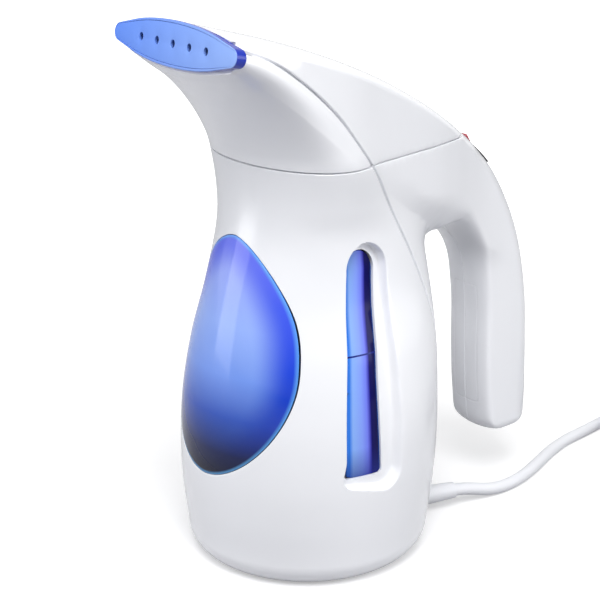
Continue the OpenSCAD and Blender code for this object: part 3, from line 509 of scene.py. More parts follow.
gauge_path += [(gauge_foot_x + gauge_foot_half - a, gauge_foot_z + b) for a, b in foot_arc[::-1]]
gauge_path += [(x + half, z) for x, z, half in above_foot[::-1]]


def off_gauge(points):
    flat = points[:, [0, 2]]
    return np.where(inside(flat, gauge_path), -1, 1) * to_line(flat, gauge_path, True)


# the pocket wall is steep towards the window; towards the grip a bevel drops to a level floor
pocket_rim = 3.6
pocket_steep = 2.4
pocket_sill = 1.5
pocket_reach = [(51, 4.7), (73, 6.8), (91, 6.0), (107, 3.9), (123, 2.4), (138.2, 1.0)]


def pocket_wall(points):
    z = np.clip(points[:, 2], 60, gauge_top_z)
    spine = np.stack([np.interp(z, gauge_rows[::-1, 1], gauge_rows[::-1, 0]), z], 1)
    way = points[:, [0, 2]] - spine
    way /= np.maximum(np.linalg.norm(way, axis=1, keepdims=True), 1e-6)
    reach = np.where(way[:, 0] > 0, np.interp(points[:, 2], *np.transpose(pocket_reach)), pocket_steep)
    return pocket_rim + reach * way[:, 0] + pocket_sill * np.maximum(0, -way[:, 1])


def to_gauge(points):
    a = np.asarray(gauge_path)
    way = np.roll(a, -1, axis=0) - a
    t = np.clip(((points[:, None] - a) * way).sum(2) / np.maximum((way * way).sum(1), 1e-9), 0, 1)
    spots = a + t[..., None] * way
    nearest = np.linalg.norm(spots - points[:, None], axis=2).argmin(axis=1)
    return spots[np.arange(len(points)), nearest]


def off_pocket(points):
    return off_gauge(points) - pocket_wall(points)


bm = front_solid.copy()
bmesh.ops.delete(bm, geom=[f for f in bm.faces if len(f.verts) > 4], context="FACES")
cut(bm, lambda p: ahead_of_groove(p) - groove_half - groove_round)
end_at_seam(bm, -1)
cut(bm, lambda p: off_window(p) - opening_gap - opening_round)
cut(bm, off_pocket)
bottom = edge_at(bm, lambda p: p.z < 0.01)
pockets = edge_at(bm, lambda p: 40 < p.z < 160 and p.x < 25 and abs(p.y) > 30
    and abs(off_pocket(np.array([p]))[0]) < 0.3)
window_edge = edge_at(bm, lambda p: p.x < -15 and p.z < 160 and abs(off_window(np.array([p]))[0]) < 0.9)
known = set(bottom) | set(pockets) | set(window_edge)
outer = [e for e in bm.edges if e.is_boundary and e not in known]
lip(bm, bottom, [(1.2, 0), (2.4, 0), (2.5, -0.3), (2.5, -3)])
lip(bm, window_edge, rounded(opening_round, 2.2))
wall = BVHTree.FromBMesh(front_solid)
rim = list(dict.fromkeys(v for e in pockets for v in e.verts))
starts = np.array([v.co for v in rim]) / MM
way_in = {v: (p, q) for v, p, q in zip(rim, starts, to_gauge(starts[:, [0, 2]]))}
for share, sunk in ((0.03, 0.1), (0.08, 0.5), (0.13, 1.2), (0.18, 2.1), (0.23, 3.0), (0.28, 3.6), (0.34, 3.95),
        (0.42, 4.05), (0.6, 3.95), (0.8, 3.8), (1.0, 3.65), (1.0, 6.5)):
    found = {tuple(v.co): pair for v, pair in way_in.items()}
    grown = bmesh.ops.extrude_edge_only(bm, edges=pockets)["geom"]
    pockets = [g for g in grown if isinstance(g, bmesh.types.BMEdge) and g.is_boundary]
    way_in = {g: found[tuple(g.co)] for g in grown if isinstance(g, bmesh.types.BMVert)}
    for v, (p, q) in way_in.items():
        side = math.copysign(1, p[1])
        x, z = p[[0, 2]] + share * (q - p[[0, 2]])
        hit = wall.ray_cast(Vector((x, side * 200, z)) * MM, Vector((0, -side, 0)))[0]
        v.co = hit - Vector((0, side * sunk, 0)) * MM
lip(bm, outer, rounded(groove_round, 1.9) + [(groove_round + 2.2, -1.9)], at_seam(groove_round))
casing_white = moulded("casing_white", (0.86, 0.87, 0.90), 0.26, drift=0.06, grain=0.012, Coat_Weight=0.35,
    Coat_Roughness=0.08)
piece(bm, "front_casing", casing_white, "body", "casing_white", "front_shell")


# Front window: a translucent blue moulding in the shell's teardrop opening, flush with it,
# welded on from the inside; its colour deepens downwards, partly with the water behind it and partly as painted
# reflection, a painted highlight pales its middle and a painted highlight lines its cut edge.
bm = front_solid.copy()
bmesh.ops.delete(bm, geom=[f for f in bm.faces if len(f.verts) > 4], context="FACES")
window_gap = 0.1
window_round = 0.35
cut(bm, lambda p: -off_window(p) - window_gap - window_round)
edge_mark = bm.verts.layers.float.new("edge")
for v, d in zip(bm.verts, off_window(places(bm))):
    v[edge_mark] = -d
lip(bm, [e for e in bm.edges if e.is_boundary], rounded(window_round, 2.2))
window_blue = moulded("window_blue", (0.1, 0.15, 0.7), 0.10, drift=0.0, grain=0.004, Specular_IOR_Level=0.2,
    Coat_Weight=0.1, Coat_Roughness=0.03)
nodes = window_blue.node_tree.nodes
wires = window_blue.node_tree.links
place = nodes.new("ShaderNodeTexCoord")
split = nodes.new("ShaderNodeSeparateXYZ")
wires.new(place.outputs["Object"], split.inputs[0])
rise = nodes.new("ShaderNodeMapRange")
rise.inputs["From Min"].default_value = 0.048
rise.inputs["From Max"].default_value = 0.151
wires.new(split.outputs["Z"], rise.inputs["Value"])


def banded(nodes, stops):
    bands = nodes.new("ShaderNodeValToRGB")
    elements = bands.color_ramp.elements
    for k, (at, colour) in enumerate(stops):
        stop = elements[k] if k < 2 else elements.new(at)
        stop.position = at
        stop.color = (*colour, 1)
    return bands


# two height ramps, a dark saturated one for the edges and a pale one for the middle; both darken downwards, partly
# water depth and partly painted reflection
lit_and_shaded_ramps = []
for colours in (((0.0, (0.001, 0.002, 0.010)), (1.0, (0.16, 0.20, 0.88)), (0.12, (0.003, 0.009, 0.07)),
        (0.28, (0.008, 0.045, 0.42)), (0.50, (0.004, 0.05, 0.66)), (0.75, (0.05, 0.10, 0.80))),
        ((0.0, (0.002, 0.004, 0.016)), (1.0, (0.33, 0.38, 0.94)), (0.12, (0.005, 0.014, 0.09)),
        (0.28, (0.03, 0.09, 0.48)), (0.45, (0.18, 0.32, 0.84)), (0.65, (0.30, 0.44, 0.92)))):
    depth = banded(nodes, colours)
    wires.new(rise.outputs["Result"], depth.inputs["Fac"])
    lit_and_shaded_ramps.append(depth)
border = nodes.new("ShaderNodeAttribute")
border.attribute_name = "edge"
# painted highlight: within 1.6 mm of the outline the colour pales towards light blue
near = nodes.new("ShaderNodeMapRange")
near.inputs["From Min"].default_value = 0.2
near.inputs["From Max"].default_value = 1.6
near.inputs["To Min"].default_value = 0.75
near.inputs["To Max"].default_value = 0.0
wires.new(border.outputs["Fac"], near.inputs["Value"])
# painted highlight: the pale ramp takes over from 2 to 16 mm in from the outline
painted_core_highlight = nodes.new("ShaderNodeMapRange")
painted_core_highlight.interpolation_type = "SMOOTHSTEP"
painted_core_highlight.inputs["From Min"].default_value = 2.0
painted_core_highlight.inputs["From Max"].default_value = 16.0
wires.new(border.outputs["Fac"], painted_core_highlight.inputs["Value"])
painted_core_mix = nodes.new("ShaderNodeMix")
painted_core_mix.data_type = "RGBA"
wires.new(painted_core_highlight.outputs["Result"], painted_core_mix.inputs["Factor"])
wires.new(lit_and_shaded_ramps[0].outputs["Color"], painted_core_mix.inputs["A"])
wires.new(lit_and_shaded_ramps[1].outputs["Color"], painted_core_mix.inputs["B"])
painted_rim_highlight = nodes.new("ShaderNodeMix")
painted_rim_highlight.data_type = "RGBA"
painted_rim_highlight.inputs["B"].default_value = (0.14, 0.46, 0.90, 1)
wires.new(near.outputs["Result"], painted_rim_highlight.inputs["Factor"])
wires.new(painted_core_mix.outputs["Result"], painted_rim_highlight.inputs["A"])
wires.new(painted_rim_highlight.outputs["Result"], nodes["surface"].inputs["Colour"])
piece(bm, "teardrop_window", window_blue, "body", "window_blue", "front_window")


# Level gauges: a strip of pale blue plastic at the bottom of each side pocket,
# with one moulded mark for the fullest level; the bands across it, paler near the window side and dark on the grip
# side, are painted reflection.
gauge_blue = moulded("gauge_blue", (0.4, 0.46, 0.86), 0.12, drift=0.0, grain=0.004, Specular_IOR_Level=0.1)
nodes = gauge_blue.node_tree.nodes
wires = gauge_blue.node_tree.links
across = nodes.new("ShaderNodeAttribute")
across.attribute_name = "across"
shift = nodes.new("ShaderNodeMapRange")
shift.inputs["From Min"].default_value = -1.0
shift.inputs["From Max"].default_value = 1.0
wires.new(across.outputs["Fac"], shift.inputs["Value"])
# painted reflection: bands across the strip, paler near the window side, a dark band on the grip side
bands = banded(nodes, ((0.0, (0.05, 0.24, 0.80)), (1.0, (0.05, 0.20, 0.75)), (0.10, (0.03, 0.20, 0.78)),
    (0.20, (0.24, 0.42, 0.86)), (0.46, (0.22, 0.33, 0.88)), (0.62, (0.16, 0.20, 0.82)), (0.70, (0.05, 0.05, 0.45)),
    (0.75, (0.004, 0.003, 0.10)), (0.94, (0.003, 0.003, 0.06))))
wires.new(shift.outputs["Result"], bands.inputs["Fac"])
rise_mark = nodes.new("ShaderNodeAttribute")
rise_mark.attribute_name = "rise"
mark = banded(nodes, ((0.0, (0, 0, 0)), (0.552, (1, 1, 1)), (0.562, (0, 0, 0))))
mark.color_ramp.interpolation = "CONSTANT"
wires.new(rise_mark.outputs["Fac"], mark.inputs["Fac"])
low_end = nodes.new("ShaderNodeMapRange")
low_end.inputs["From Min"].default_value = 0.0
low_end.inputs["From Max"].default_value = 0.14
low_end.inputs["To Min"].default_value = 0.75
low_end.inputs["To Max"].default_value = 0.0
wires.new(rise_mark.outputs["Fac"], low_end.inputs["Value"])
darker = nodes.new("ShaderNodeMath")
darker.operation = "MAXIMUM"
wires.new(mark.outputs["Color"], darker.inputs[0])
wires.new(low_end.outputs["Result"], darker.inputs[1])
glass_mix = nodes.new("ShaderNodeMix")
glass_mix.data_type = "RGBA"
glass_mix.inputs["B"].default_value = (0.012, 0.02, 0.20, 1)
wires.new(darker.outputs[0], glass_mix.inputs["Factor"])
wires.new(bands.outputs["Color"], glass_mix.inputs["A"])
wires.new(glass_mix.outputs["Result"], nodes["surface"].inputs["Colour"])
gauge_gap = 0.15
gauge_round = 0.4
gauge_depth = 4.5
strip_low = 51
strip_tall = 95.5
for side, name in ((-1, "gauge_left"), (1, "gauge_right")):
    bm = front_solid.copy()
    bmesh.ops.delete(bm, geom=[f for f in bm.faces if f.calc_center_median().y * side < 0.02 or len(f.verts) > 4],
        context="FACES")
    cut(bm, lambda p: -off_gauge(p) - gauge_gap - gauge_round)
    across_mark = bm.verts.layers.float.new("across")
    rise_mark = bm.verts.layers.float.new("rise")
    for v in bm.verts:
        x, z = v.co.x / MM, v.co.z / MM
        at = np.interp(z, gauge_rows[::-1, 1], gauge_rows[::-1, 0])
        v[across_mark] = (x - at) / np.interp(z, gauge_rows[::-1, 1], gauge_rows[::-1, 2])
        v[rise_mark] = (z - strip_low) / strip_tall
    bm.normal_update()
    moved = {v: v.co - v.normal * gauge_depth * MM for v in bm.verts}
    for v, co in moved.items():
        v.co = co
    lip(bm, [e for e in bm.edges if e.is_boundary], rounded(gauge_round, 1.8))
    piece(bm, name + "_strip", gauge_blue, "body", "gauge_blue", name)


# Rear shell: side panels, back wall and hanging grip in one white moulding, joined to the front shell
# along the groove; where the vase form runs into the panels the corner is softly filled.
grip_x = 97
grip_back = 132
grip_end = 26.5
rear_rows = [(-64.9, 242.9, -68.4, 225.4, 8.9, 8.5, 1), (-44, 237.5, -52, 222, 4.8, 6, 1),
    (-24, 232, -38, 210, 5.2, 9, 1), (-3.6, 225, -24, 198, 5.5, 9, 1), (17.6, 216.2, -10, 186, 5.8, 9, 1),
    (39.6, 205.4, 3, 170, 6.4, 9, 1), (59.2, 194.4, 18, 154, 7, 14, 1.1), (73.3, 185.6, 32, 141, 7.6, 26, 1.3),
    (82.8, 179.2, 45, 134.5, 8, 30, 1.5), (89.7, 173.5, 56, 133, 8.4, 26, 1.6),
    (96.3, 167.6, 64.2, 136.1, 8.8, 18, 1.5), (102.2, 161.4, 71, 138, 9.2, 12, 1.3),
    (108, 153.9, 78.3, 135.6, 9.6, 8, 1.1), (113.4, 145.4, 85.3, 129.3, 10, 6, 1),
    (118.4, 136.1, grip_x - 6.4, 122, 10.4, 5, 1), (grip_back - 8.6, 124, grip_x - 3.6, 114.5, 10.8, 4.5, 1),
    (grip_back - 4.7, 110, grip_x - 1.9, 104, 11, 4.5, 1), (grip_back - 1.5, 92, grip_x - 0.5, 90, 11, 4.5, 1),
    (grip_back, 72, grip_x, 72, 11, 4.5, 1), (grip_back + 0.8, 55, grip_x + 1, 55, 11, 4.5, 1),
    (grip_back + 1.2, grip_end + 17, grip_x + 2.2, grip_end + 17, 11, 4.5, 1),
    (grip_back + 1, grip_end + 6, grip_x + 4, grip_end + 6.2, 11, 4.5, 1),
    (grip_back - 0.8, grip_end + 1.5, grip_x + 7.5, grip_end + 1.6, 10, 6, 1),
    (grip_back - 5, grip_end, grip_x + 12, grip_end, 7, 7, 1)]
rear_half = along([(-70, 42.5), (-40, 42.6), (-10, 41.8), (10, 38.2), (45, 31.2), (62, 26.3), (75, 21.8), (88, 17.8),
    (100, 15.4), (112, 13.9), (130, 13.2)], np.linspace(0, 10, 201))


def rear_ring(r):
    top = np.array(r[0:2])
    way = np.array(r[2:4]) - top
    deep = np.linalg.norm(way)
    way /= deep
    crown = min(r[4], 0.48 * deep)
    turn = min(r[5], 0.94 * (deep - crown))
    a = np.linspace(0, np.pi / 2, 13)
    steps = np.concatenate([np.stack([crown * (1 - np.cos(a)), np.sin(a)], 1),
        np.stack([np.linspace(crown, deep - turn, 14)[1:-1], np.ones(12)], 1),
        np.stack([deep - turn * (1 - np.sin(a)), np.abs(np.cos(a)) ** r[6]], 1)])
    drop = min(max(r[1] - grip_end, 0), 5) / 5
    share = 0.72 + 0.28 * math.sqrt(1 - (1 - drop) ** 2)
    spots = top + way * steps[:, :1]
    taper = np.maximum(spots[:, 0], r[0] - np.interp(r[0], [100, 112, 125], [60, 30, 16]))
    wide = np.interp(taper, rear_half[:, 0], rear_half[:, 1]) * share * steps[:, 1]
    half = np.stack([spots[:, 0], wide, spots[:, 1]], 1)
    return np.vstack([half, half[-2:0:-1] * (1, -1, 1)])


rear_steps = 8
rear_at = np.arange((len(rear_rows) - 1) * rear_steps + 1) / rear_steps
rear_solid = skin([rear_ring(r) for r in along(rear_rows, rear_at)])
parts = []
for bm, name in ((front_solid.copy(), "front_form"), (rear_solid, "rear_form")):
    mesh = bpy.data.meshes.new(name)
    bm.to_mesh(mesh)
    bm.free()
    form = bpy.data.objects.new(name, mesh)
    scene.collection.objects.link(form)
    parts.append(form)
union = parts[0].modifiers.new("union", "BOOLEAN")
union.operation = "UNION"
union.solver = "EXACT"
union.object = parts[1]
mesh = bpy.data.meshes.new_from_object(parts[0].evaluated_get(bpy.context.evaluated_depsgraph_get()))
whole = bmesh.new()
whole.from_mesh(mesh)


def corners(item):
    return [v.index for v in item.verts]


# the union lists its points in no fixed order; sorted and read in again, they give the same mesh at each run
for items, key in ((whole.verts, lambda v: tuple(v.co)), (whole.edges, corners), (whole.faces, corners)):
    for k, item in enumerate(sorted(items, key=key)):
        item.index = k
    items.sort()
whole.to_mesh(mesh)
whole.clear()
whole.from_mesh(mesh)
for form in parts:
    bpy.data.objects.remove(form)
bpy.data.meshes.remove(mesh)
bmesh.ops.remove_doubles(whole, verts=whole.verts, dist=0.1 * MM)
bmesh.ops.triangulate(whole, faces=[f for f in whole.faces if len(f.verts) > 4])
whole.normal_update()
fillet_reach = 9
fillet_steps = 80
corner = [e for e in whole.edges if len(e.link_faces) == 2 and e.calc_face_angle_signed(0) < -0.3
    and 0.045 < e.verts[0].co.z < 0.235]
tree = kdtree.KDTree(len(corner))
for k, e in enumerate(corner):
    tree.insert((e.verts[0].co + e.verts[1].co) / 2, k)
tree.balance()
close = [v for v in whole.verts if tree.find(v.co)[2] < fillet_reach * MM] if corner else []
for _ in range(fillet_steps):
    bmesh.ops.smooth_vert(whole, verts=close, factor=0.5, use_axis_x=True, use_axis_y=True, use_axis_z=True)

# a fine mould line runs down the middle of the grip on the finger side
mould_half = 0.35
mould_deep = 0.3
for y in (-mould_half, mould_half):
    near = [f for f in whole.faces if abs(f.calc_center_median().y) < 3 * MM and f.calc_center_median().x > 0.06
        and f.calc_center_median().z < 0.145 and min(f.normal.x, f.normal.z) < -0.3]
    touched = dict.fromkeys(g for f in near for g in (f, *f.edges, *f.verts))
    bmesh.ops.bisect_plane(whole, geom=list(touched), dist=1e-7, plane_co=(0, y * MM, 0), plane_no=(0, 1, 0))
whole.normal_update()
for v in whole.verts:
    if abs(v.co.y) < 1e-6 and v.co.x > 0.062 and 0.03 < v.co.z < 0.145 and min(v.normal.x, v.normal.z) < -0.3:
        v.co -= v.normal * mould_deep * MM

switch_frame_at = Matrix.Translation((0.0932, 0, 0.1704)) @ Matrix.Rotation(math.radians(43), 4, "Y")
switch_out = np.array(switch_frame_at.inverted())


def off_box(flat, half, r=0):
    far = np.abs(flat) - np.array(half)
    return np.linalg.norm(np.maximum(far, 0), axis=1) + np.minimum(far.max(axis=1), 0) - r


def in_switch(points):
    return (points * MM @ switch_out[:3, :3].T + switch_out[:3, 3]) / MM


def off_switch(points):
    local = in_switch(points)
    return np.where(np.abs(local[:, 2]) < 8, off_box(local[:, :2], (9.0, 4.5), 3), 30.0)


cover_gap = 0.03
cover_round = 0.12


def off_cover(points):
    apart = off_box(points[:, 1:] - np.array([0, grip_end + 46.5]), (6.0, 29.0), 1.5)
    return np.where((points[:, 0] > 85) & (points[:, 0] < 106), apart, 30.0)


bm = whole.copy()
cut(bm, lambda p: -ahead_of_groove(p) - groove_half - edge_round)
end_at_seam(bm, -1)
cut(bm, lambda p: off_switch(p) - opening_gap - opening_round)
cut(bm, lambda p: off_cover(p) - cover_gap - cover_round)
hairline = edge_at(bm, lambda p: abs(off_cover(np.array([p]))[0]) < 0.6)
small = edge_at(bm, lambda p: abs(off_switch(np.array([p]))[0]) < 0.8)
known = set(small) | set(hairline)
outer = [e for e in bm.edges if e.is_boundary and e not in known]
lip(bm, small, rounded(opening_round, 2.2))
lip(bm, hairline, rounded(cover_round, 1.5, 2))
lip(bm, outer, rounded(edge_round, 1.2) + [(edge_round + 1.5, -1.2)], at_seam(edge_round))
piece(bm, "rear_casing", casing_white, "body", "casing_white", "rear_shell")


# Handle cover: the white strip that closes the hollow grip on the finger side, snapped in flush.
# It is moulded like the shell and shows only a hairline joint.
bm = whole.copy()
cut(bm, lambda p: -off_cover(p) - cover_gap - cover_round)
lip(bm, [e for e in bm.edges if e.is_boundary], rounded(cover_round, 1.5, 2))
piece(bm, "grip_cover", casing_white, "body", "casing_white", "handle_cover")


# Head shells: the twist-off top in two white mouldings, the neck in front of the groove and
# the spine cover behind it; both end in the nozzle frame and stand on the seam.
nozzle_at = Vector((-66.7, 0, 234))
nozzle_tilt = math.radians(11)
nozzle_axis = Vector((-math.cos(nozzle_tilt), 0, math.sin(nozzle_tilt)))
nozzle_up = Vector((math.sin(nozzle_tilt), 0, math.cos(nozzle_tilt)))
nozzle_half = 43
nozzle_sides = 180
lens_half = 40
lens_tall = 9.2
tip_at = 39.2
tip_round = 3.8
mouth_sag = 2.4


def lens_outline(inset):
    a = np.linspace(0, 2 * np.pi, nozzle_sides + 1)[:-1]
    tip = tip_round - inset / 2
    spots = [((lens_half - inset) * math.cos(t), (lens_tall - inset) * math.sin(t)) for t in a]
    spots += [(s * tip_at + tip * math.cos(t), tip * math.sin(t)) for s in (-1, 1) for t in a]
    hull = np.array([spots[k] for k in geometry.convex_hull_2d([Vector(p) for p in spots])])
    turn = np.unwrap(np.arctan2(hull[:, 1] / lens_tall, hull[:, 0] / nozzle_half))
    if turn[-1] < turn[0]:
        hull, turn = hull[::-1], turn[::-1]
    turn -= 2 * np.pi * round(turn[0] / (2 * np.pi))
    wide = np.concatenate([turn - 2 * np.pi, turn, turn + 2 * np.pi])
    at = np.arange(nozzle_sides) * 2 * np.pi / nozzle_sides
    return np.stack([np.interp(at, wide, np.tile(hull[:, k], 3)) for k in (0, 1)], 1)


def on_nozzle(flat, depth):
    flat = np.asarray(flat)
    return np.array(nozzle_at) + flat[:, :1] * np.array([0, 1, 0]) + flat[:, 1:] * np.array(nozzle_up) \
        + np.reshape(depth, (-1, 1)) * np.array(nozzle_axis)


def sag(y):
    return mouth_sag * np.clip(np.abs(y) / nozzle_half, 0, 1) ** 3


def behind_nozzle(points):
    along_axis = (points - np.array(nozzle_at)) @ np.array(nozzle_axis)
    return -along_axis - 1.8 - sag(points[:, 1])


rim_seat = lens_outline(0.1)
for sign, name, node in ((1, "head_front", "head_front_shell"), (-1, "head_rear", "head_rear_shell")):
    bm = whole.copy()
    r = groove_round if sign > 0 else edge_round
    cut(bm, lambda p: sign * ahead_of_groove(p) - groove_half - r)
    end_at_seam(bm, 1)
    cut(bm, behind_nozzle)
    mouth = edge_at(bm, lambda p: p.x < -55 and abs(behind_nozzle(np.array([p]))[0]) < 0.15)
    known = set(mouth)
    others = [e for e in bm.edges if e.is_boundary and e not in known]
    lip(bm, others, rounded(r, 1.9) + ([(r + 2.2, -1.9)] if sign > 0 else []), at_seam(r))
    mouth = [e for e in mouth if e.is_valid and e.is_boundary]
    for v in [g for g in bmesh.ops.extrude_edge_only(bm, edges=mouth)["geom"] if isinstance(g, bmesh.types.BMVert)]:
        way = v.co / MM - nozzle_at
        spot = np.array([way.y, way.dot(nozzle_up)])
        best = rim_seat[np.argmin(np.linalg.norm(rim_seat - spot, axis=1))]
        depth = way.dot(nozzle_axis) - 0.15
        v.co = Vector(on_nozzle([best], [depth])[0]) * MM
    piece(bm, name, casing_white, "head", "casing_white", node)


# Switch: a thin black satin bezel snapped into the spine, following its crown and a little proud of it, and in it
# a dark red rocker on a steel pin; its raised end stands out of the bezel. Both are small injection mouldings.
bezel_gap = 0.1
bezel_round = 0.3


def off_rocker(points):
    return off_box(in_switch(points)[:, :2], (9.7, 4.55))


bm = whole.copy()
cut(bm, lambda p: -off_switch(p) - bezel_gap - bezel_round)
cut(bm, lambda p: off_rocker(p) - bezel_round)
bm.normal_update()
lift = {v: np.interp((switch_frame_at.inverted() @ v.co).x / MM, [-12, 0, 12], [0.4, 0.9, 1.35]) for v in bm.verts}
raised = {v: v.co + v.normal * up * MM for v, up in lift.items()}
for v, co in raised.items():
    v.co = co
inner = edge_at(bm, lambda p: off_rocker(np.array([p]))[0] < 0.7)
outer = [e for e in bm.edges if e.is_boundary and e not in set(inner)]
lip(bm, inner, rounded(bezel_round, 3.0))
lip(bm, outer, rounded(bezel_round, 1.6))
bezel_black = moulded("bezel_black", (0.012, 0.012, 0.014), 0.32, drift=0.2, grain=0.03)
piece(bm, "switch_bezel", bezel_black, "body", "black_plastic", "switch_frame")
rocker_half = 4.25
rocker_side = [(-8.2, 5.8), (-4, 5.5), (0, 5.0), (4, 5.0), (8.2, 5.4), (8.5, 1), (3, -4), (-3, -4), (-8.5, 1)]
bm = bmesh.new()
bmesh.ops.create_circle(bm, cap_ends=True, segments=len(rocker_side), radius=1)
bm.verts.ensure_lookup_table()
for v, (x, z) in zip(list(bm.verts), rocker_side):
    v.co = Vector((x, -rocker_half, z)) * MM
grown = bmesh.ops.extrude_face_region(bm, geom=bm.faces[:])["geom"]
for v in [g for g in grown if isinstance(g, bmesh.types.BMVert)]:
    v.co.y = rocker_half * MM
bmesh.ops.recalc_face_normals(bm, faces=bm.faces)
bmesh.ops.bevel(bm, geom=[e for e in bm.edges if e.calc_face_angle(0) > 0.5], offset=0.45 * MM, segments=3,
    profile=0.5, affect="EDGES")
bmesh.ops.transform(bm, verts=bm.verts,
    matrix=switch_frame_at @ Matrix.Translation((0, 0, -0.0045)) @ Matrix.Rotation(math.radians(9), 4, "Y"))
rocker_red = moulded("rocker_red", (0.34, 0.008, 0.03), 0.18, drift=0.15, grain=0.01, Coat_Weight=0.4)
piece(bm, "rocker_cap", rocker_red, "rocker", "red_plastic", "rocker", sharp=50)
front_solid.free()
whole.free()


# Nozzle rim: a deep blue glossy frame pressed into the open end of the head.
# Its wall stands a few millimetres proud of the white mouldings and its front edge is finely rounded.
edge = 0.4
rim_profile = [(2.2, -5.0), (1.2, -5.0), (1.2, "mouth"), (0.0, "mouth"), (0.0, -edge)]
rim_profile += [(edge * (1 - math.cos(a)), edge * (math.sin(a) - 1)) for a in np.linspace(0, np.pi / 2, 7)[1:]]
rim_profile += [(1.05, 0.0), (1.15, -0.1), (1.2, -0.3), (1.2, -2.2), (2.2, -2.2)]
rings = []
for inset, depth in rim_profile:
    flat = lens_outline(inset)
    rings.append(on_nozzle(flat, -2.2 - sag(flat[:, 0]) if depth == "mouth" else np.full(len(flat), depth)))
bm = skin(rings, looped=True)
front_mark = bm.verts.layers.float.new("front")
for v in bm.verts:
    v[front_mark] = min(max(((v.co / MM - nozzle_at).dot(nozzle_axis) + edge) / edge, 0), 1)


# painted reflection: a blue that pales from the +Y end of the nozzle to its -Y end
def painted_side_reflection(nodes, wires):
    place = nodes.new("ShaderNodeTexCoord")
    split = nodes.new("ShaderNodeSeparateXYZ")
    wires.new(place.outputs["Object"], split.inputs[0])
    sweep = nodes.new("ShaderNodeMapRange")
    sweep.inputs["From Min"].default_value = nozzle_half * MM
    sweep.inputs["From Max"].default_value = -nozzle_half * MM
    wires.new(split.outputs["Y"], sweep.inputs["Value"])
    painted_reflection_ramp = banded(nodes, ((0.0, (0.11, 0.26, 0.86)), (1.0, (0.27, 0.43, 0.88))))
    wires.new(sweep.outputs["Result"], painted_reflection_ramp.inputs["Fac"])
    return painted_reflection_ramp.outputs["Color"]


rim_blue = moulded("rim_blue", (0.003, 0.025, 0.40), 0.16, drift=0.05, grain=0.004, Specular_IOR_Level=0.35)
nodes = rim_blue.node_tree.nodes
wires = rim_blue.node_tree.links
front = nodes.new("ShaderNodeAttribute")
front.attribute_name = "front"
# the front face is coloured like the plate, with its painted reflection; the walls keep the deep blue
rim_face_painted_reflection = nodes.new("ShaderNodeMix")
rim_face_painted_reflection.data_type = "RGBA"
rim_face_painted_reflection.inputs["A"].default_value = (0.003, 0.025, 0.40, 1)
wires.new(painted_side_reflection(nodes, wires), rim_face_painted_reflection.inputs["B"])
wires.new(front.outputs["Fac"], rim_face_painted_reflection.inputs["Factor"])
wires.new(rim_face_painted_reflection.outputs["Result"], nodes["surface"].inputs["Colour"])
piece(bm, "nozzle_frame", rim_blue, "head", "nozzle_deep_blue", "nozzle_rim")


# Nozzle plate: a flat cornflower-blue plastic plate that closes the rim, with five steam holes in a row; a painted
# reflection pales it towards its -Y end.
# It is set in flush, so only a hairline shows between the two.
plate_in = 1.3
plate_round = 0.1
hole_pitch = 11.4
hole_half = (1.55, 1.8)
hole_turn = np.linspace(0, 2 * np.pi, 41)[:-1]
bm = bmesh.new()
loops = [lens_outline(plate_in + plate_round)]
loops += [np.array([(hole_pitch * k + hole_half[0] * math.cos(a), hole_half[1] * math.sin(a)) for a in hole_turn])
    for k in range(-2, 3)]
for loop in loops:
    made = bmesh.ops.create_circle(bm, segments=len(loop), radius=1)["verts"]
    for v, at in zip(made, on_nozzle(loop, np.full(len(loop), -0.06))):
        v.co = Vector(at) * MM
bmesh.ops.triangle_fill(bm, use_beauty=True, use_dissolve=False, edges=bm.edges[:], normal=nozzle_axis)
for f in bm.faces:
    if f.normal.dot(nozzle_axis) < 0:
        f.normal_flip()
lip(bm, [e for e in bm.edges if e.is_boundary], rounded(plate_round, 1.9))
# painted shade: the walls of the steam holes and of the hairline round the plate go dark navy below 0.3 mm
painted_shade_depth = bm.verts.layers.float.new("deep")
for v in bm.verts:
    v[painted_shade_depth] = min(max(-0.3 - (v.co / MM - nozzle_at).dot(nozzle_axis), 0), 1)
plate_blue = moulded("plate_blue", (0.2, 0.38, 0.9), 0.42, drift=0.03, grain=0.01, Specular_IOR_Level=0.2)
nodes = plate_blue.node_tree.nodes
wires = plate_blue.node_tree.links
deep = nodes.new("ShaderNodeAttribute")
deep.attribute_name = "deep"
# mix towards the painted shade on those walls
sunk = nodes.new("ShaderNodeMix")
sunk.data_type = "RGBA"
sunk.inputs["B"].default_value = (0.004, 0.010, 0.12, 1)
wires.new(deep.outputs["Fac"], sunk.inputs["Factor"])
wires.new(painted_side_reflection(nodes, wires), sunk.inputs["A"])
wires.new(sunk.outputs["Result"], nodes["surface"].inputs["Colour"])
piece(bm, "steam_plate", plate_blue, "head", "nozzle_light_blue", "nozzle_plate")


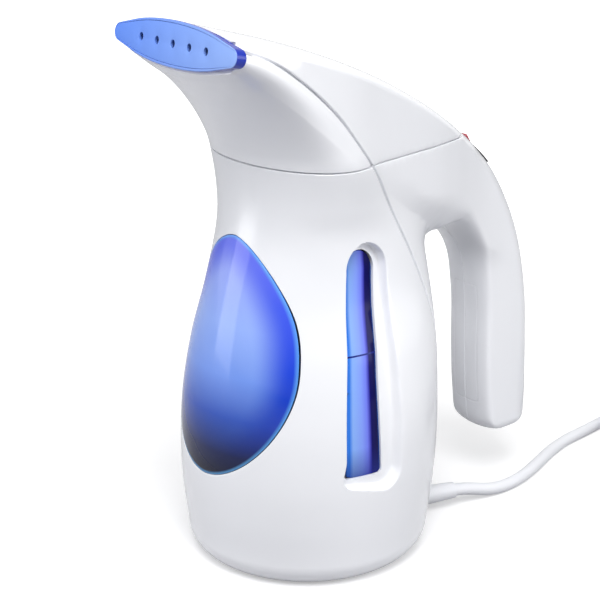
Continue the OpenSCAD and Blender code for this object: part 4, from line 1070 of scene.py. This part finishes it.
# Switch body, thermostat, screws and pins: dark phenolic cases and plain steel, also for heater tube and baffle.
# These are the solids of the part with their own finishes, out of sight in the assembly.
def finish(material, *names):
    for name in names:
        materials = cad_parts[name].data.materials
        materials.clear()
        materials.append(material)


finish(moulded("phenolic_dark", (0.06, 0.06, 0.065), 0.55, drift=0.4, grain=0.08), "switch_body", "thermostat")
steel = moulded("turned_steel", (0.55, 0.56, 0.58), 0.30, drift=0.25, grain=0.03, Metallic=1.0)
finish(steel, "rocker_pin", "deck_screws", "heater_screws", "base_screws", "clamp_screws", "head_screws",
    "heater_element", "baffle")


# Works inside: the clear tank with its collar and deck, the cast heater plate under it with its seal,
# thermostat, fuse and terminal block, and the spigot, duct and floor of the head.
finish(moulded("tank_clear", (0.70, 0.78, 0.92), 0.12, drift=0.05, grain=0.004, Transmission_Weight=0.75, IOR=1.49),
    "water_tank")
finish(moulded("inner_plastic", (0.72, 0.74, 0.78), 0.45, drift=0.15, grain=0.05), "tank_collar", "deck_plate",
    "head_floor", "head_spigot", "steam_duct", "cord_clamp")
finish(moulded("cast_alloy", (0.62, 0.63, 0.65), 0.48, drift=0.35, grain=0.35, Metallic=1.0), "heater_plate")
finish(moulded("red_silicone", (0.62, 0.22, 0.16), 0.60, drift=0.15, grain=0.05), "heater_seal", "mouth_seal",
    "nozzle_gasket")
finish(moulded("pale_ceramic", (0.76, 0.72, 0.60), 0.55, drift=0.25, grain=0.15), "thermal_fuse", "terminal_block")
finish(moulded("wire_red", (0.45, 0.02, 0.015), 0.40, drift=0.15, grain=0.03), "wiring")


# Base: the white cover that closes the bottom, its black rubber feet and the tapered strain relief of the cord.
# The cover is screwed on from below; the relief is moulded in the same soft white as the cord.
finish(casing_white, "base_cover")
finish(moulded("foot_rubber", (0.05, 0.05, 0.055), 0.75, drift=0.3, grain=0.25), "base_pads")
finish(cord_sheath, "cord_gland", "plug_body")
finish(moulded("tie_dark", (0.03, 0.03, 0.035), 0.60, drift=0.3, grain=0.2), "cord_tie")
finish(moulded("plain_brass", (0.72, 0.56, 0.28), 0.28, drift=0.25, grain=0.03, Metallic=1.0), "plug_blades")
